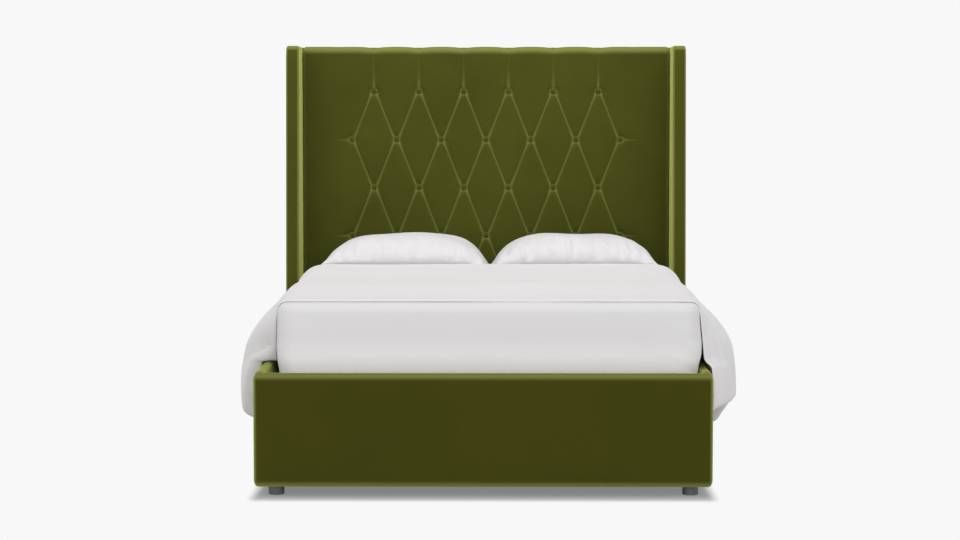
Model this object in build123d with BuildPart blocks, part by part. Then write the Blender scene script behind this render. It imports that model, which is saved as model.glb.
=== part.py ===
from build123d import *
import math
import os

# King-size wingback storage bed, in millimetres.
# X runs across the bed, +Y points to the headboard and +Z up.
# The origin is on the floor, below the middle of the bed.
# Places along the bed are often given as a reach: the distance from the mattress's head end
# towards the foot.

# Mattress and fitted sheet
mattress_width = 1490.0
mattress_length = 2000.0
mattress_shift = 18.0
mattress_height = 288.0
mattress_top_radius = 34.0
mattress_corner_radius = 70.0
sheet_thickness = 2.0
soft_gap = 0.3

# Base
mattress_side_gap = 20.0
base_height = 398.0
glide_height = 36.0
glide_radius = 28.0
glide_foot_radius = 26.0
glide_side_inset = 72.5
glide_foot_inset = 90.0
footboard_thickness = 60.0
side_rail_thickness = 35.0
base_edge_radius = 12.0
foot_gap = 18.0
head_gap = 30.0

# Headboard
headboard_height = 1622.0
board_thickness = 30.0
lining_thickness = 1.5
lining_margin = 12.0
pad_thickness = 60.0
pad_edge_radius = 22.0
pad_side_gap = 0.5
wing_thickness = 55.0
wing_side_gap = 6.0
wing_lead_top = 140.0
wing_lead_foot = 236.0
wing_edge_radius = 12.0
wing_back_radius = 6.0
wing_nose_radius = 40.0

# Tufting: buttons in staggered rows with a fold along each diagonal
tuft_pitch = 196.0
tuft_row_step = 210.0
tuft_top_drop = 192.0
long_row_count = 7
fold_half_width = 62.0
fold_depth = 16.0
fold_rise = 0.6
pleat_half_width = 17.0
pleat_depth = 7.0
side_pleat_length = 96.0
dimple_mouth_radius = 40.0
dimple_floor_radius = 13.5
dimple_depth = 24.0
button_radius = 12.5
button_height = 7.0
button_edge_radius = 4.5

# Corner blocks, brackets and bolts
block_width = 68.0
block_height = 288.0
bumper_radius = 12.0
bracket_thickness = 3.0
bracket_flange = 40.0
bracket_bottom_height = 90.0
bracket_top_height = 300.0
bolt_radius = 4.0
bolt_hole_gap = 0.3
bolt_head_radius = 9.0
bolt_head_height = 4.5
bolt_bite = 28.0
low_bolt_height = 130.0
high_bolt_height = 260.0
cross_bolt_drop = 40.0
wing_plate_width = 60.0
wing_plate_height = 30.0
lower_plate_height = 700.0
upper_plate_height = 1300.0
screw_radius = 2.5
screw_head_radius = 5.0
screw_length = 24.0
wing_screw_shares = (-0.3, 0.3)

# Storage floor
floor_board_thickness = 8.0
ledge_width = 20.0
ledge_height = 10.0
floor_rail_width = 60.0
board_joint_gap = 1.0
floor_glide_reach = 600.0
headboard_glide_inset = 100.0

# Lift-up platform
tube_width = 25.0
tube_height = 36.0
tube_wall = 2.0
tube_end_gap = 5.0
platform_recess = 50.0
tube_top_drop = 18.0
cap_flange = 3.0
cap_plug = 12.0
cap_gap = 0.3
slat_count = 14
slat_width = 63.0
slat_thickness = 8.0
slat_end_inset = 60.0
slat_crown_gap = 0.3
holder_wall = 3.0
holder_floor = 3.6
holder_play = 0.4
holder_pocket = 25.0
holder_overhang = 14.0
pocket_headroom = 1.6
stop_rod_radius = 5.0
stop_width = 140.0
stop_height = 44.0
stop_offset = 420.0
stop_bend_radius = 25.0
strap_width = 30.0
strap_thickness = 4.0
strap_rise = 30.0

# Lift mechanism: four pivots on each side, seen from the side
plate_thickness = 4.0
link_thickness = 6.0
link_gap = 0.5
rivet_head = 1.4
rivet_head_radius = 10.0
rivet_head_gap = 0.1
rear_pivot_reach = 666.3
rear_pivot_height = 328.9
rear_link_length = 162.1
rear_link_angle = 81.94
coupler_reach = 163.0
coupler_drop = 115.9
open_pivot_slip = 1.6
front_link_length = 547.6
front_link_angle = 72.76
link_end_radius = 14.0
open_end_radius = 17.0
rivet_radius = 6.0
open_pin_radius = 5.0
open_pivot_gap = 2.7
pivot_gap = 0.2
pin_end_gap = 0.3
plate_margin = 17.0
platform_plate_grip = 26.0
plate_screw_inset = 60.0

# Gas struts
strut_low_reach = 643.1
strut_low_height = 80.0
strut_high_reach = 531.9
strut_high_height = 315.0
strut_tube_radius = 10.0
strut_bore_radius = 8.0
strut_tube_length = 240.0
strut_rod_radius = 4.0
strut_rod_length = 222.0
strut_gland_bore = 5.6
strut_gland_length = 12.0
strut_bottom = 30.0
piston_radius = 6.6
piston_length = 12.0
strut_eye_radius = 9.0
strut_eye_width = 10.0
strut_stud_radius = 4.0
strut_stud_head = 6.0
strut_stud_head_height = 2.0
strut_plate_gap = 2.7

# Duvet: a quilted cloth over the mattress with a drop on each side
duvet_thickness = 40.0
duvet_head_reach = 562.0
duvet_foot_reach = 1925.0
duvet_bulge = 890.0
duvet_bulge_drop = 165.0
duvet_slope_drop = 70.0
duvet_left_shoulder = 30.0
duvet_right_shoulder = 42.0
duvet_left_slope = 48.0
duvet_right_slope = 62.0
duvet_flare = 108.0
duvet_hem_depth = 22.0
duvet_hem_depth_ratio = 0.3
duvet_shoulder_run = 106.0
duvet_foot_shoulder_run = 40.0
duvet_crown = 10.0
duvet_drop_clearance = 14.0
duvet_apex_height = 330.0
duvet_left_hem_height = 236.0
duvet_right_hem_height = 216.0
reach_shares = (0.0, 0.09, 0.18, 0.28, 0.38, 0.48, 0.58, 0.68, 0.78, 0.86, 0.93, 1.0)
left_drop_shares = (0.86, 0.93, 0.97, 1.0, 1.0, 1.0, 1.0, 0.99, 0.92, 0.72, 0.5, 0.45)
right_drop_shares = (0.82, 0.89, 0.94, 0.96, 0.98, 1.0, 1.0, 0.86, 0.79, 0.79, 0.79, 0.79)
left_flare_shares = (0.76, 0.84, 0.78, 0.88, 0.82, 0.86, 0.9, 0.88, 0.74, 0.59, 0.36, 0.09)
right_flare_shares = (0.76, 0.84, 0.77, 0.83, 0.77, 0.75, 0.8, 1.0, 0.95, 0.79, 0.55, 0.11)
thickness_shares = (1.0, 1.0, 1.0, 1.0, 1.0, 1.0, 1.0, 1.0, 0.97, 0.69, 0.39, 0.25)

# Pillows
pillow_width = 712.0
pillow_depth = 500.0
pillow_loft = 152.0
pillow_between = 3.0
pillow_head_gap = 52.0
pillow_seam_rise = 52.0
pillow_span_shares = (-0.5, -0.44, -0.3, 0.0, 0.3, 0.44, 0.5)
pillow_loft_shares = (0.1, 0.52, 0.9, 1.0, 0.9, 0.52, 0.1)
pillow_depth_shares = (0.97, 1.0, 0.97, 0.94, 0.97, 1.0, 0.97)

overrun = 20.0

# Levels and planes that follow from those sizes
overall_length = (footboard_thickness + foot_gap + mattress_length + head_gap
                  + pad_thickness + board_thickness + lining_thickness)
foot_face = -overall_length / 2
foot_inner = foot_face + footboard_thickness
foot_end = foot_inner + foot_gap
head_end = foot_end + mattress_length
pad_face = head_end + head_gap
board_face = pad_face + pad_thickness
lining_face = board_face + board_thickness
back_face = lining_face + lining_thickness

mattress_half = mattress_width / 2
rail_inner = mattress_half + mattress_side_gap
base_half = rail_inner + side_rail_thickness
base_top = glide_height + base_height
wing_inner = base_half + wing_side_gap
wing_outer = wing_inner + wing_thickness
ledge_top = glide_height + ledge_height
floor_top = ledge_top + floor_board_thickness
block_top = glide_height + block_height

plate_face = rail_inner - plate_thickness
link_outer = plate_face - link_gap
link_inner = link_outer - link_thickness
rivet_face = link_inner - rivet_head_gap - rivet_head
platform_plate_face = rivet_face - pin_end_gap
tube_outer = platform_plate_face - plate_thickness
tube_inner = tube_outer - tube_width
tube_centre = tube_outer - tube_width / 2

mattress_low = base_top - platform_recess
tube_top = mattress_low - tube_top_drop
tube_low = tube_top - tube_height
mattress_top = mattress_low + mattress_height
strut_centre = tube_outer - strut_plate_gap - strut_tube_radius

floor_centre = (Align.CENTER, Align.CENTER, Align.MIN)
hang_centre = (Align.CENTER, Align.CENTER, Align.MAX)


def at_reach(reach):
    """Y of a place given by its reach from the mattress's head end."""
    return head_end - reach


def front_plane(y):
    """Plane across the bed at y, seen from the foot: local x is X, local y is Z."""
    return Plane(origin=(0, y, 0), x_dir=(1, 0, 0), z_dir=(0, -1, 0))


def save(piece, name):
    """Labels a piece and writes its file."""
    piece.part.label = name
    export_step(piece.part, f"parts/{name}.step")


def save_pair(piece, name):
    """Writes the right-hand piece and its mirror image on the left."""
    save(piece, f"right_{name}")
    with BuildPart() as other:
        mirror(piece.part, about=Plane.YZ)
    save(other, f"left_{name}")


def box_between(x, y, z, mode=Mode.ADD):
    """Box given by its low and high limits along each axis."""
    with Locations(((x[0] + x[1]) / 2, (y[0] + y[1]) / 2, (z[0] + z[1]) / 2)):
        Box(x[1] - x[0], y[1] - y[0], z[1] - z[0], mode=mode)


os.makedirs("parts", exist_ok=True)


# Bolts of the two front corner blocks and of the two head-end brackets
def block_bolts(side):
    """Seats of one corner block's bolts, each pointing into the wood."""
    middle = rail_inner - block_width / 2
    block_middle = foot_inner + block_width / 2
    block_face = foot_inner + block_width
    seats = []
    for height in (low_bolt_height, high_bolt_height):
        seats.append(Plane(origin=(side * (rail_inner - block_width), block_middle, height),
                           z_dir=(side, 0, 0)))
        seats.append(Plane(origin=(side * middle, block_face, height - cross_bolt_drop),
                           z_dir=(0, -1, 0)))
    return seats


def bracket_bolts(side):
    """Seats of one head-end bracket's bolts, each pointing into the wood."""
    seats = []
    for height in (low_bolt_height, high_bolt_height):
        seats.append(Plane(origin=(side * (rail_inner - bracket_thickness),
                                   pad_face - bracket_flange / 2, height), z_dir=(side, 0, 0)))
        seats.append(Plane(origin=(side * (rail_inner - bracket_flange / 2),
                                   pad_face - bracket_thickness, height - cross_bolt_drop),
                           z_dir=(0, 1, 0)))
    return seats


block_bolt_length = block_width + bolt_bite
bracket_bolt_length = bracket_thickness + bolt_bite
bolt_hole_radius = bolt_radius + bolt_hole_gap


def bolt_holes(seats, length):
    """Holes for the bolts on these seats."""
    with Locations(*seats):
        Cylinder(bolt_hole_radius, length + bolt_hole_gap, align=floor_centre, mode=Mode.SUBTRACT)


def bolts(seats, length):
    """Bolts with round heads on these seats."""
    with Locations(*seats):
        Cylinder(bolt_radius, length, align=floor_centre)
        Cylinder(bolt_head_radius, bolt_head_height, align=hang_centre)


with BuildPart() as frame_bolts:
    for side in (-1, 1):
        bolts(block_bolts(side), block_bolt_length)
        bolts(bracket_bolts(side), bracket_bolt_length)
save(frame_bolts, "frame_bolts")

# Footboard: a padded board across the whole base
with BuildPart() as footboard:
    box_between((-base_half, base_half), (foot_face, foot_inner), (glide_height, base_top))
    fillet(footboard.faces().sort_by(Axis.Y)[0].edges(), base_edge_radius)
    for side in (-1, 1):
        bolt_holes(block_bolts(side), block_bolt_length)
save(footboard, "footboard")


# Side rail: a padded board, rounded along its outer edges
def plate_screw_seats(side):
    """Seats of the screws that hold one base plate to its side rail."""
    places = [(strut_low_reach + plate_screw_inset, strut_low_height),
              (rear_pivot_reach + plate_screw_inset, rear_pivot_height - plate_screw_inset),
              (front_pivot_reach - plate_screw_inset, front_pivot_height)]
    return [Plane(origin=(side * plate_face, at_reach(reach), height), z_dir=(side, 0, 0))
            for reach, height in places]


# Pivots of the lift mechanism, worked out along the chain of links
def leaning(length, angle):
    """Reach and height that a link gains when it leans back by this angle from upright."""
    return -length * math.sin(math.radians(angle)), length * math.cos(math.radians(angle))


rear_step = leaning(rear_link_length, rear_link_angle)
front_step = leaning(front_link_length, front_link_angle)
rear_pivot = (rear_pivot_reach, rear_pivot_height)
rear_joint = (rear_pivot[0] + rear_step[0], rear_pivot[1] + rear_step[1])
open_pin = (rear_joint[0] + coupler_reach, rear_joint[1] - coupler_drop)
open_end = (open_pin[0] + open_pivot_slip, open_pin[1] + open_pivot_slip)
front_pivot = (open_end[0] - front_step[0], open_end[1] - front_step[1])
front_pivot_reach = front_pivot[0]
front_pivot_height = front_pivot[1]
strut_low = (strut_low_reach, strut_low_height)
strut_high = (strut_high_reach, strut_high_height)


def side_point(pivot):
    """Point on the side plane, Y then Z, of a pivot given by reach and height."""
    return at_reach(pivot[0]), pivot[1]


def screw_holes(seats):
    """Countersunk holes for the screws on these seats."""
    with Locations(*seats):
        Cylinder(screw_radius + bolt_hole_gap, screw_length + bolt_hole_gap, align=floor_centre,
                 mode=Mode.SUBTRACT)
        Cone(screw_head_radius + bolt_hole_gap, screw_radius + bolt_hole_gap, bracket_thickness,
             align=floor_centre, mode=Mode.SUBTRACT)


def screws(seats):
    """Countersunk screws on these seats, flush with the metal."""
    with Locations(*seats):
        Cylinder(screw_radius, screw_length, align=floor_centre)
        Cone(screw_head_radius, screw_radius, bracket_thickness, align=floor_centre)


with BuildPart() as side_rail:
    box_between((rail_inner, base_half), (foot_inner, pad_face), (glide_height, base_top))
    fillet(side_rail.faces().sort_by(Axis.X)[-1].edges().filter_by(Axis.Y), base_edge_radius)
    bolt_holes(block_bolts(1), block_bolt_length)
    bolt_holes(bracket_bolts(1), bracket_bolt_length)
    screw_holes(plate_screw_seats(1))
save_pair(side_rail, "side_rail")

# Corner blocks: they tie the footboard to the rails and carry the bumpers
with BuildPart() as corner_blocks:
    box_between((rail_inner - block_width, rail_inner), (foot_inner, foot_inner + block_width),
                (glide_height, block_top))
    bolt_holes(block_bolts(1), block_bolt_length)
    mirror(about=Plane.YZ)
save(corner_blocks, "corner_blocks")

with BuildPart() as platform_bumpers:
    with Locations((tube_centre, foot_inner + block_width / 2, block_top)):
        Cylinder(bumper_radius, tube_low - pin_end_gap - block_top, align=floor_centre)
    mirror(about=Plane.YZ)
save(platform_bumpers, "platform_bumpers")

# Head-end brackets: bent steel angles
with BuildPart() as head_brackets:
    with BuildSketch(Plane.XY.offset(bracket_bottom_height)):
        with BuildLine():
            Polyline((rail_inner, pad_face), (rail_inner - bracket_flange, pad_face),
                     (rail_inner - bracket_flange, pad_face - bracket_thickness),
                     (rail_inner - bracket_thickness, pad_face - bracket_thickness),
                     (rail_inner - bracket_thickness, pad_face - bracket_flange),
                     (rail_inner, pad_face - bracket_flange), close=True)
        make_face()
    extrude(amount=bracket_top_height - bracket_bottom_height)
    bolt_holes(bracket_bolts(1), bracket_bolt_length)
    mirror(about=Plane.YZ)
save(head_brackets, "head_brackets")


# Headboard: board, plain lower panel, tufted pad, wings and lining
def wing_plate_seats(side):
    """Seats of the screws through the plates that join one wing to the board."""
    seats = []
    for height in (lower_plate_height, upper_plate_height):
        for offset_share in wing_screw_shares:
            x = side * (wing_inner + offset_share * wing_plate_width)
            seats.append(Plane(origin=(x, lining_face, height), z_dir=(0, -1, 0)))
    return seats


def wing_plate_recess(mode):
    """The plates that join the right wing to the board, or the recesses for them."""
    play = 0 if mode == Mode.ADD else bolt_hole_gap
    for height in (lower_plate_height, upper_plate_height):
        box_between((wing_inner - wing_plate_width / 2 - play, wing_inner + wing_plate_width / 2 + play),
                    (lining_face - bracket_thickness, lining_face),
                    (height - wing_plate_height / 2 - play, height + wing_plate_height / 2 + play),
                    mode=mode)


with BuildPart() as wing_plates:
    wing_plate_recess(Mode.ADD)
    screw_holes(wing_plate_seats(1))
    mirror(about=Plane.YZ)
save(wing_plates, "wing_plates")

with BuildPart() as wing_plate_screws:
    screws(wing_plate_seats(1))
    mirror(about=Plane.YZ)
save(wing_plate_screws, "wing_plate_screws")

with BuildPart() as headboard_board:
    box_between((0, wing_inner), (board_face, lining_face), (glide_height, headboard_height))
    wing_plate_recess(Mode.SUBTRACT)
    screw_holes(wing_plate_seats(1))
    mirror(about=Plane.YZ)
save(headboard_board, "headboard_board")

with BuildPart() as headboard_lining:
    box_between((-wing_outer + lining_margin, wing_outer - lining_margin), (lining_face, back_face),
                (glide_height + lining_margin, headboard_height - lining_margin))
save(headboard_lining, "headboard_lining")

with BuildPart() as headboard_lower_panel:
    box_between((-base_half, base_half), (pad_face, board_face), (glide_height, base_top))
    for side in (-1, 1):
        bolt_holes(bracket_bolts(side), bracket_bolt_length)
save(headboard_lower_panel, "headboard_lower_panel")

with BuildPart() as wing:
    with BuildSketch(Plane.YZ.offset(wing_inner)):
        with BuildLine():
            top_nose = (pad_face - wing_lead_top, headboard_height)
            foot_nose = (pad_face - wing_lead_foot, glide_height)
            FilletPolyline((lining_face, glide_height), foot_nose, top_nose,
                           (lining_face, headboard_height), close=True,
                           radius=(wing_back_radius, base_edge_radius, wing_nose_radius,
                                   wing_back_radius))
        make_face()
    extrude(amount=wing_thickness)
    fillet(wing.faces().filter_by(Axis.X).edges().filter_by_position(
        Axis.Y, minimum=foot_face, maximum=lining_face - base_edge_radius), wing_edge_radius)
    wing_plate_recess(Mode.SUBTRACT)
    screw_holes(wing_plate_seats(1))
save_pair(wing, "wing")

# Tufting: the places of the buttons
top_row = headboard_height - tuft_top_drop
tuft_room = top_row - base_top - dimple_mouth_radius
tuft_row_count = 1 + int(tuft_room // tuft_row_step)
short_row_count = long_row_count - 1
short_row_end = tuft_pitch * (short_row_count - 1) / 2
long_row_end = tuft_pitch * (long_row_count - 1) / 2
row_shift = tuft_pitch / 2


def row_height(row):
    """Height of a row of buttons, counted from the top."""
    return top_row - row * tuft_row_step


def row_end(row):
    """Distance of a row's last button from the middle of the bed."""
    return short_row_end if row % 2 == 0 else long_row_end


def button_places():
    """Places of all the buttons as X and Z pairs."""
    places = []
    for row in range(tuft_row_count):
        count = short_row_count if row % 2 == 0 else long_row_count
        places += [(tuft_pitch * (i - (count - 1) / 2), row_height(row)) for i in range(count)]
    return places


def fold_lines():
    """Start and end of each diagonal fold: rows joined while both ends carry a button."""
    lines = []
    for slope in (-1, 1):
        for i in range(-long_row_count, 2 * long_row_count):
            start = tuft_pitch * (i - (short_row_count - 1) / 2)
            rows = [row for row in range(tuft_row_count)
                    if abs(slope * (start + row * row_shift)) <= row_end(row) + overrun]
            if len(rows) > 1:
                first, last = rows[0], rows[-1]
                lines.append(((slope * (start + first * row_shift), row_height(first)),
                              (slope * (start + last * row_shift), row_height(last))))
    return lines


def fold_cut(start, end, half_width, depth):
    """Cuts a fold with rounded shoulders and a sharp floor between two places on the pad's face."""
    run = math.hypot(end[0] - start[0], end[1] - start[1])
    along = ((end[0] - start[0]) / run, (end[1] - start[1]) / run)
    across = Plane(origin=(start[0], pad_face, start[1]), x_dir=(-along[1], 0, along[0]),
                   z_dir=(along[0], 0, along[1]))
    with BuildSketch(across) as section:
        with BuildLine():
            TangentArc((-half_width, fold_rise), (0, -depth), tangent=(1, 0))
            TangentArc((half_width, fold_rise), (0, -depth), tangent=(-1, 0))
            Polyline((-half_width, fold_rise), (-half_width, overrun), (half_width, overrun),
                     (half_width, fold_rise))
        make_face()
    extrude(section.sketch, amount=run, mode=Mode.SUBTRACT)


# Tufted pad: a cushion with a fold along each diagonal, pleats to its edges and a dimple at
# each button
with BuildPart() as tufted_pad:
    box_between((-wing_inner + pad_side_gap, wing_inner - pad_side_gap), (pad_face, board_face),
                (base_top + pad_side_gap, headboard_height))
    fillet(tufted_pad.faces().sort_by(Axis.Y)[0].edges(), pad_edge_radius)
    for start, end in fold_lines():
        fold_cut(start, end, fold_half_width, fold_depth)
    for i in range(short_row_count):
        x = tuft_pitch * i - short_row_end
        fold_cut((x, top_row), (x, headboard_height + overrun), pleat_half_width, pleat_depth)
        fold_cut((x, row_height(tuft_row_count - 1)), (x, base_top - overrun), pleat_half_width,
                 pleat_depth)
    for row in range(1, tuft_row_count, 2):
        for side in (-1, 1):
            fold_cut((side * long_row_end, row_height(row)),
                     (side * (long_row_end + side_pleat_length), row_height(row)),
                     pleat_half_width, pleat_depth)
    with Locations(front_plane(pad_face)):
        with Locations(*button_places()):
            Cone(dimple_floor_radius, dimple_mouth_radius, dimple_depth, align=hang_centre,
                 mode=Mode.SUBTRACT)
save(tufted_pad, "tufted_pad")

# Covered buttons, each on the floor of its dimple
with BuildPart() as tufting_buttons:
    with Locations(front_plane(pad_face + dimple_depth)):
        with Locations(*button_places()):
            Cylinder(button_radius, button_height, align=floor_centre)
    fillet(tufting_buttons.faces().filter_by(Axis.Y).group_by(Axis.Y)[0].edges(),
           button_edge_radius)
save(tufting_buttons, "tufting_buttons")

# Storage floor: ledges round the base, a centre rail, two boards and the glides
corner = rail_inner - block_width
with BuildPart() as floor_ledges:
    box_between((rail_inner - ledge_width, rail_inner), (foot_inner + block_width, pad_face),
                (glide_height, ledge_top))
    box_between((floor_rail_width / 2, corner), (foot_inner, foot_inner + ledge_width),
                (glide_height, ledge_top))
    box_between((floor_rail_width / 2, rail_inner - ledge_width - board_joint_gap),
                (pad_face - ledge_width, pad_face), (glide_height, ledge_top))
    mirror(about=Plane.YZ)
save(floor_ledges, "floor_ledges")

with BuildPart() as floor_rail:
    box_between((-floor_rail_width / 2, floor_rail_width / 2), (foot_inner, pad_face),
                (glide_height, ledge_top))
save(floor_rail, "floor_rail")

with BuildPart() as floor_board:
    box_between((board_joint_gap / 2, rail_inner - board_joint_gap),
                (foot_inner + board_joint_gap, pad_face - board_joint_gap), (ledge_top, floor_top))
    box_between((corner - board_joint_gap, rail_inner),
                (foot_inner, foot_inner + block_width + board_joint_gap), (ledge_top, floor_top),
                mode=Mode.SUBTRACT)
save_pair(floor_board, "floor_board")

glide_places = [(side * (base_half - glide_side_inset), foot_face + glide_foot_inset)
                for side in (-1, 1)]
glide_places += [(side * (base_half - headboard_glide_inset), (pad_face + lining_face) / 2)
                 for side in (-1, 1)]
glide_places += [(0, at_reach(floor_glide_reach)),
                 (0, at_reach(mattress_length - floor_glide_reach))]
with BuildPart() as glides:
    with BuildSketch(Plane.XY.offset(glide_height)):
        with Locations(*glide_places):
            Circle(glide_radius)
    extrude(amount=-glide_height)
    fillet(glides.faces().filter_by(Axis.Z).group_by(Axis.Z)[0].edges(),
           glide_radius - glide_foot_radius)
save(glides, "glides")


# Lift mechanism
def bar_outline(first, second, first_radius, second_radius):
    """Outline of a link or plate between two pivots on the side plane."""
    with Locations(side_point(first)):
        start = Circle(first_radius)
    with Locations(side_point(second)):
        end = Circle(second_radius)
    make_hull(start.edges() + end.edges())


def pivot_hole(pivot, radius):
    """Round hole in a sketch on the side plane."""
    with Locations(side_point(pivot)):
        Circle(radius, mode=Mode.SUBTRACT)


def pivot_rod(pivot, radius, inner, outer):
    """Round pin across the bed between two distances from the middle."""
    with BuildSketch(Plane.YZ.offset(inner)) as section:
        with Locations(side_point(pivot)):
            Circle(radius)
    extrude(section.sketch, amount=outer - inner)


def plate_outline(points, radius):
    """Outline of a plate round several pivots."""
    rims = []
    for point in points:
        with Locations(side_point(point)):
            rims.append(Circle(radius))
    make_hull([edge for rim in rims for edge in rim.edges()])


with BuildPart() as base_plate:
    with BuildSketch(Plane.YZ.offset(plate_face)):
        plate_outline([rear_pivot, front_pivot, strut_low], plate_margin)
        pivot_hole(rear_pivot, rivet_radius + pivot_gap)
        pivot_hole(front_pivot, rivet_radius + pivot_gap)
        pivot_hole(strut_low, strut_stud_radius + pivot_gap)
    extrude(amount=plate_thickness)
    screw_holes(plate_screw_seats(1))
save_pair(base_plate, "base_plate")

with BuildPart() as base_plate_screws:
    screws(plate_screw_seats(1))
    mirror(about=Plane.YZ)
save(base_plate_screws, "base_plate_screws")

with BuildPart() as base_pivots:
    for pivot in (rear_pivot, front_pivot):
        pivot_rod(pivot, rivet_radius, rivet_face, rail_inner)
        pivot_rod(pivot, rivet_head_radius, rivet_face, rivet_face + rivet_head)
    pivot_rod(strut_low, strut_stud_radius, strut_centre - strut_tube_radius, rail_inner)
    pivot_rod(strut_low, strut_stud_head,
              strut_centre - strut_tube_radius - strut_stud_head_height,
              strut_centre - strut_tube_radius)
    mirror(about=Plane.YZ)
save(base_pivots, "base_pivots")

with BuildPart() as rear_link:
    with BuildSketch(Plane.YZ.offset(link_inner)):
        bar_outline(rear_pivot, rear_joint, link_end_radius, link_end_radius)
        pivot_hole(rear_pivot, rivet_radius + pivot_gap)
        pivot_hole(rear_joint, rivet_radius + pivot_gap)
    extrude(amount=link_thickness)
save_pair(rear_link, "rear_link")

with BuildPart() as front_link:
    with BuildSketch(Plane.YZ.offset(link_inner)):
        bar_outline(front_pivot, open_end, link_end_radius, open_end_radius)
        pivot_hole(front_pivot, rivet_radius + pivot_gap)
        pivot_hole(open_end, open_pin_radius + open_pivot_gap)
    extrude(amount=link_thickness)
save_pair(front_link, "front_link")

plate_grip = (open_pin[0] + platform_plate_grip, tube_low + tube_height / 2)
with BuildPart() as platform_plate:
    with BuildSketch(Plane.YZ.offset(tube_outer)):
        plate_outline([rear_joint, open_pin, strut_high, plate_grip], plate_margin)
        pivot_hole(rear_joint, rivet_radius + pivot_gap)
        pivot_hole(open_pin, open_pin_radius + pivot_gap)
        pivot_hole(strut_high, strut_stud_radius + pivot_gap)
    extrude(amount=plate_thickness)
save_pair(platform_plate, "platform_plate")

pin_inner = tube_outer + pivot_gap
pin_outer = link_outer + link_gap - pin_end_gap
with BuildPart() as platform_pivots:
    pivot_rod(rear_joint, rivet_radius, pin_inner, pin_outer)
    pivot_rod(open_pin, open_pin_radius, pin_inner, pin_outer)
    pivot_rod(strut_high, strut_stud_radius, strut_centre - strut_tube_radius,
              platform_plate_face)
    pivot_rod(strut_high, strut_stud_head,
              strut_centre - strut_tube_radius - strut_stud_head_height,
              strut_centre - strut_tube_radius)
    mirror(about=Plane.YZ)
save(platform_pivots, "platform_pivots")

# Gas strut: the tube turns on the base plate and the rod on the platform plate
strut_reach = strut_low[0] - strut_high[0]
strut_rise = strut_high[1] - strut_low[1]
strut_length = math.hypot(strut_reach, strut_rise)
strut_way = (0, strut_reach / strut_length, strut_rise / strut_length)


def strut_eye(pivot, reverse):
    """Eye round a strut's stud, joined to a short neck that points along the strut."""
    y, z = side_point(pivot)
    way = tuple(-part for part in strut_way) if reverse else strut_way
    with BuildSketch(Plane.YZ.offset(strut_centre - strut_eye_width / 2)) as section:
        with Locations((y, z)):
            Circle(strut_eye_radius)
    extrude(section.sketch, amount=strut_eye_width)
    return Plane(origin=(strut_centre, y, z), x_dir=(1, 0, 0), z_dir=way)


def strut_eye_hole(pivot):
    """Hole through a strut's eye."""
    with BuildSketch(Plane.YZ.offset(strut_centre - strut_eye_width)) as section:
        with Locations(side_point(pivot)):
            Circle(strut_stud_radius + pivot_gap)
    extrude(section.sketch, amount=2 * strut_eye_width, mode=Mode.SUBTRACT)


with BuildPart() as strut_tube:
    axis_plane = strut_eye(strut_low, reverse=False)
    with BuildSketch(axis_plane):
        Circle(strut_rod_radius)
    extrude(amount=strut_bottom)
    tube_start = axis_plane.offset(strut_eye_radius + strut_stud_head_height)
    with BuildSketch(tube_start):
        Circle(strut_tube_radius)
    extrude(amount=strut_tube_length - strut_eye_radius - strut_stud_head_height)
    with BuildSketch(axis_plane.offset(strut_bottom)):
        Circle(strut_bore_radius)
    extrude(amount=strut_tube_length - strut_gland_length - strut_bottom, mode=Mode.SUBTRACT)
    with BuildSketch(axis_plane.offset(strut_bottom)):
        Circle(strut_gland_bore)
    extrude(amount=strut_tube_length, mode=Mode.SUBTRACT)
    strut_eye_hole(strut_low)
save_pair(strut_tube, "strut_tube")

with BuildPart() as strut_rod:
    rod_plane = strut_eye(strut_high, reverse=True)
    with BuildSketch(rod_plane):
        Circle(strut_rod_radius)
    extrude(amount=strut_rod_length)
    with BuildSketch(rod_plane.offset(strut_rod_length - piston_length)):
        Circle(piston_radius)
    extrude(amount=piston_length)
    strut_eye_hole(strut_high)
save_pair(strut_rod, "strut_rod")

# Platform frame: steel box tubes
frame_head = at_reach(tube_end_gap)
frame_foot = foot_end - soft_gap - cap_flange
frame_face = frame_foot + cap_flange


def box_tube(x, y):
    """Box tube of the platform frame between these limits."""
    box_between(x, y, (tube_low, tube_top))


def bore_along(x, y):
    """Hollow of a box tube between these limits."""
    box_between(x, y, (tube_low + tube_wall, tube_top - tube_wall), mode=Mode.SUBTRACT)


with BuildPart() as side_tube:
    tube_y = (frame_face, frame_head - cap_flange)
    box_tube((tube_inner, tube_outer), tube_y)
    bore_along((tube_inner + tube_wall, tube_outer - tube_wall), tube_y)
save_pair(side_tube, "platform_side_tube")

with BuildPart() as end_tubes:
    for low in (frame_face, frame_head - cap_flange - tube_width):
        box_tube((-tube_inner, tube_inner), (low, low + tube_width))
        bore_along((-tube_inner, tube_inner), (low + tube_wall, low + tube_width - tube_wall))
save(end_tubes, "platform_end_tubes")

with BuildPart() as centre_tube:
    centre_y = (frame_face + tube_width, frame_head - cap_flange - tube_width)
    box_tube((-tube_width / 2, tube_width / 2), centre_y)
    bore_along((-tube_width / 2 + tube_wall, tube_width / 2 - tube_wall), centre_y)
save(centre_tube, "platform_centre_tube")

with BuildPart() as tube_caps:
    plug_inset = tube_wall + cap_gap
    for end, way in ((frame_foot, 1), (frame_head, -1)):
        flange = sorted((end, end + way * cap_flange))
        plug = sorted((end + way * cap_flange, end + way * (cap_flange + cap_plug)))
        box_between((tube_inner, tube_outer), flange, (tube_low, tube_top))
        box_between((tube_inner + plug_inset, tube_outer - plug_inset), plug,
                    (tube_low + plug_inset, tube_top - plug_inset))
    mirror(about=Plane.YZ)
save(tube_caps, "tube_caps")

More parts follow.
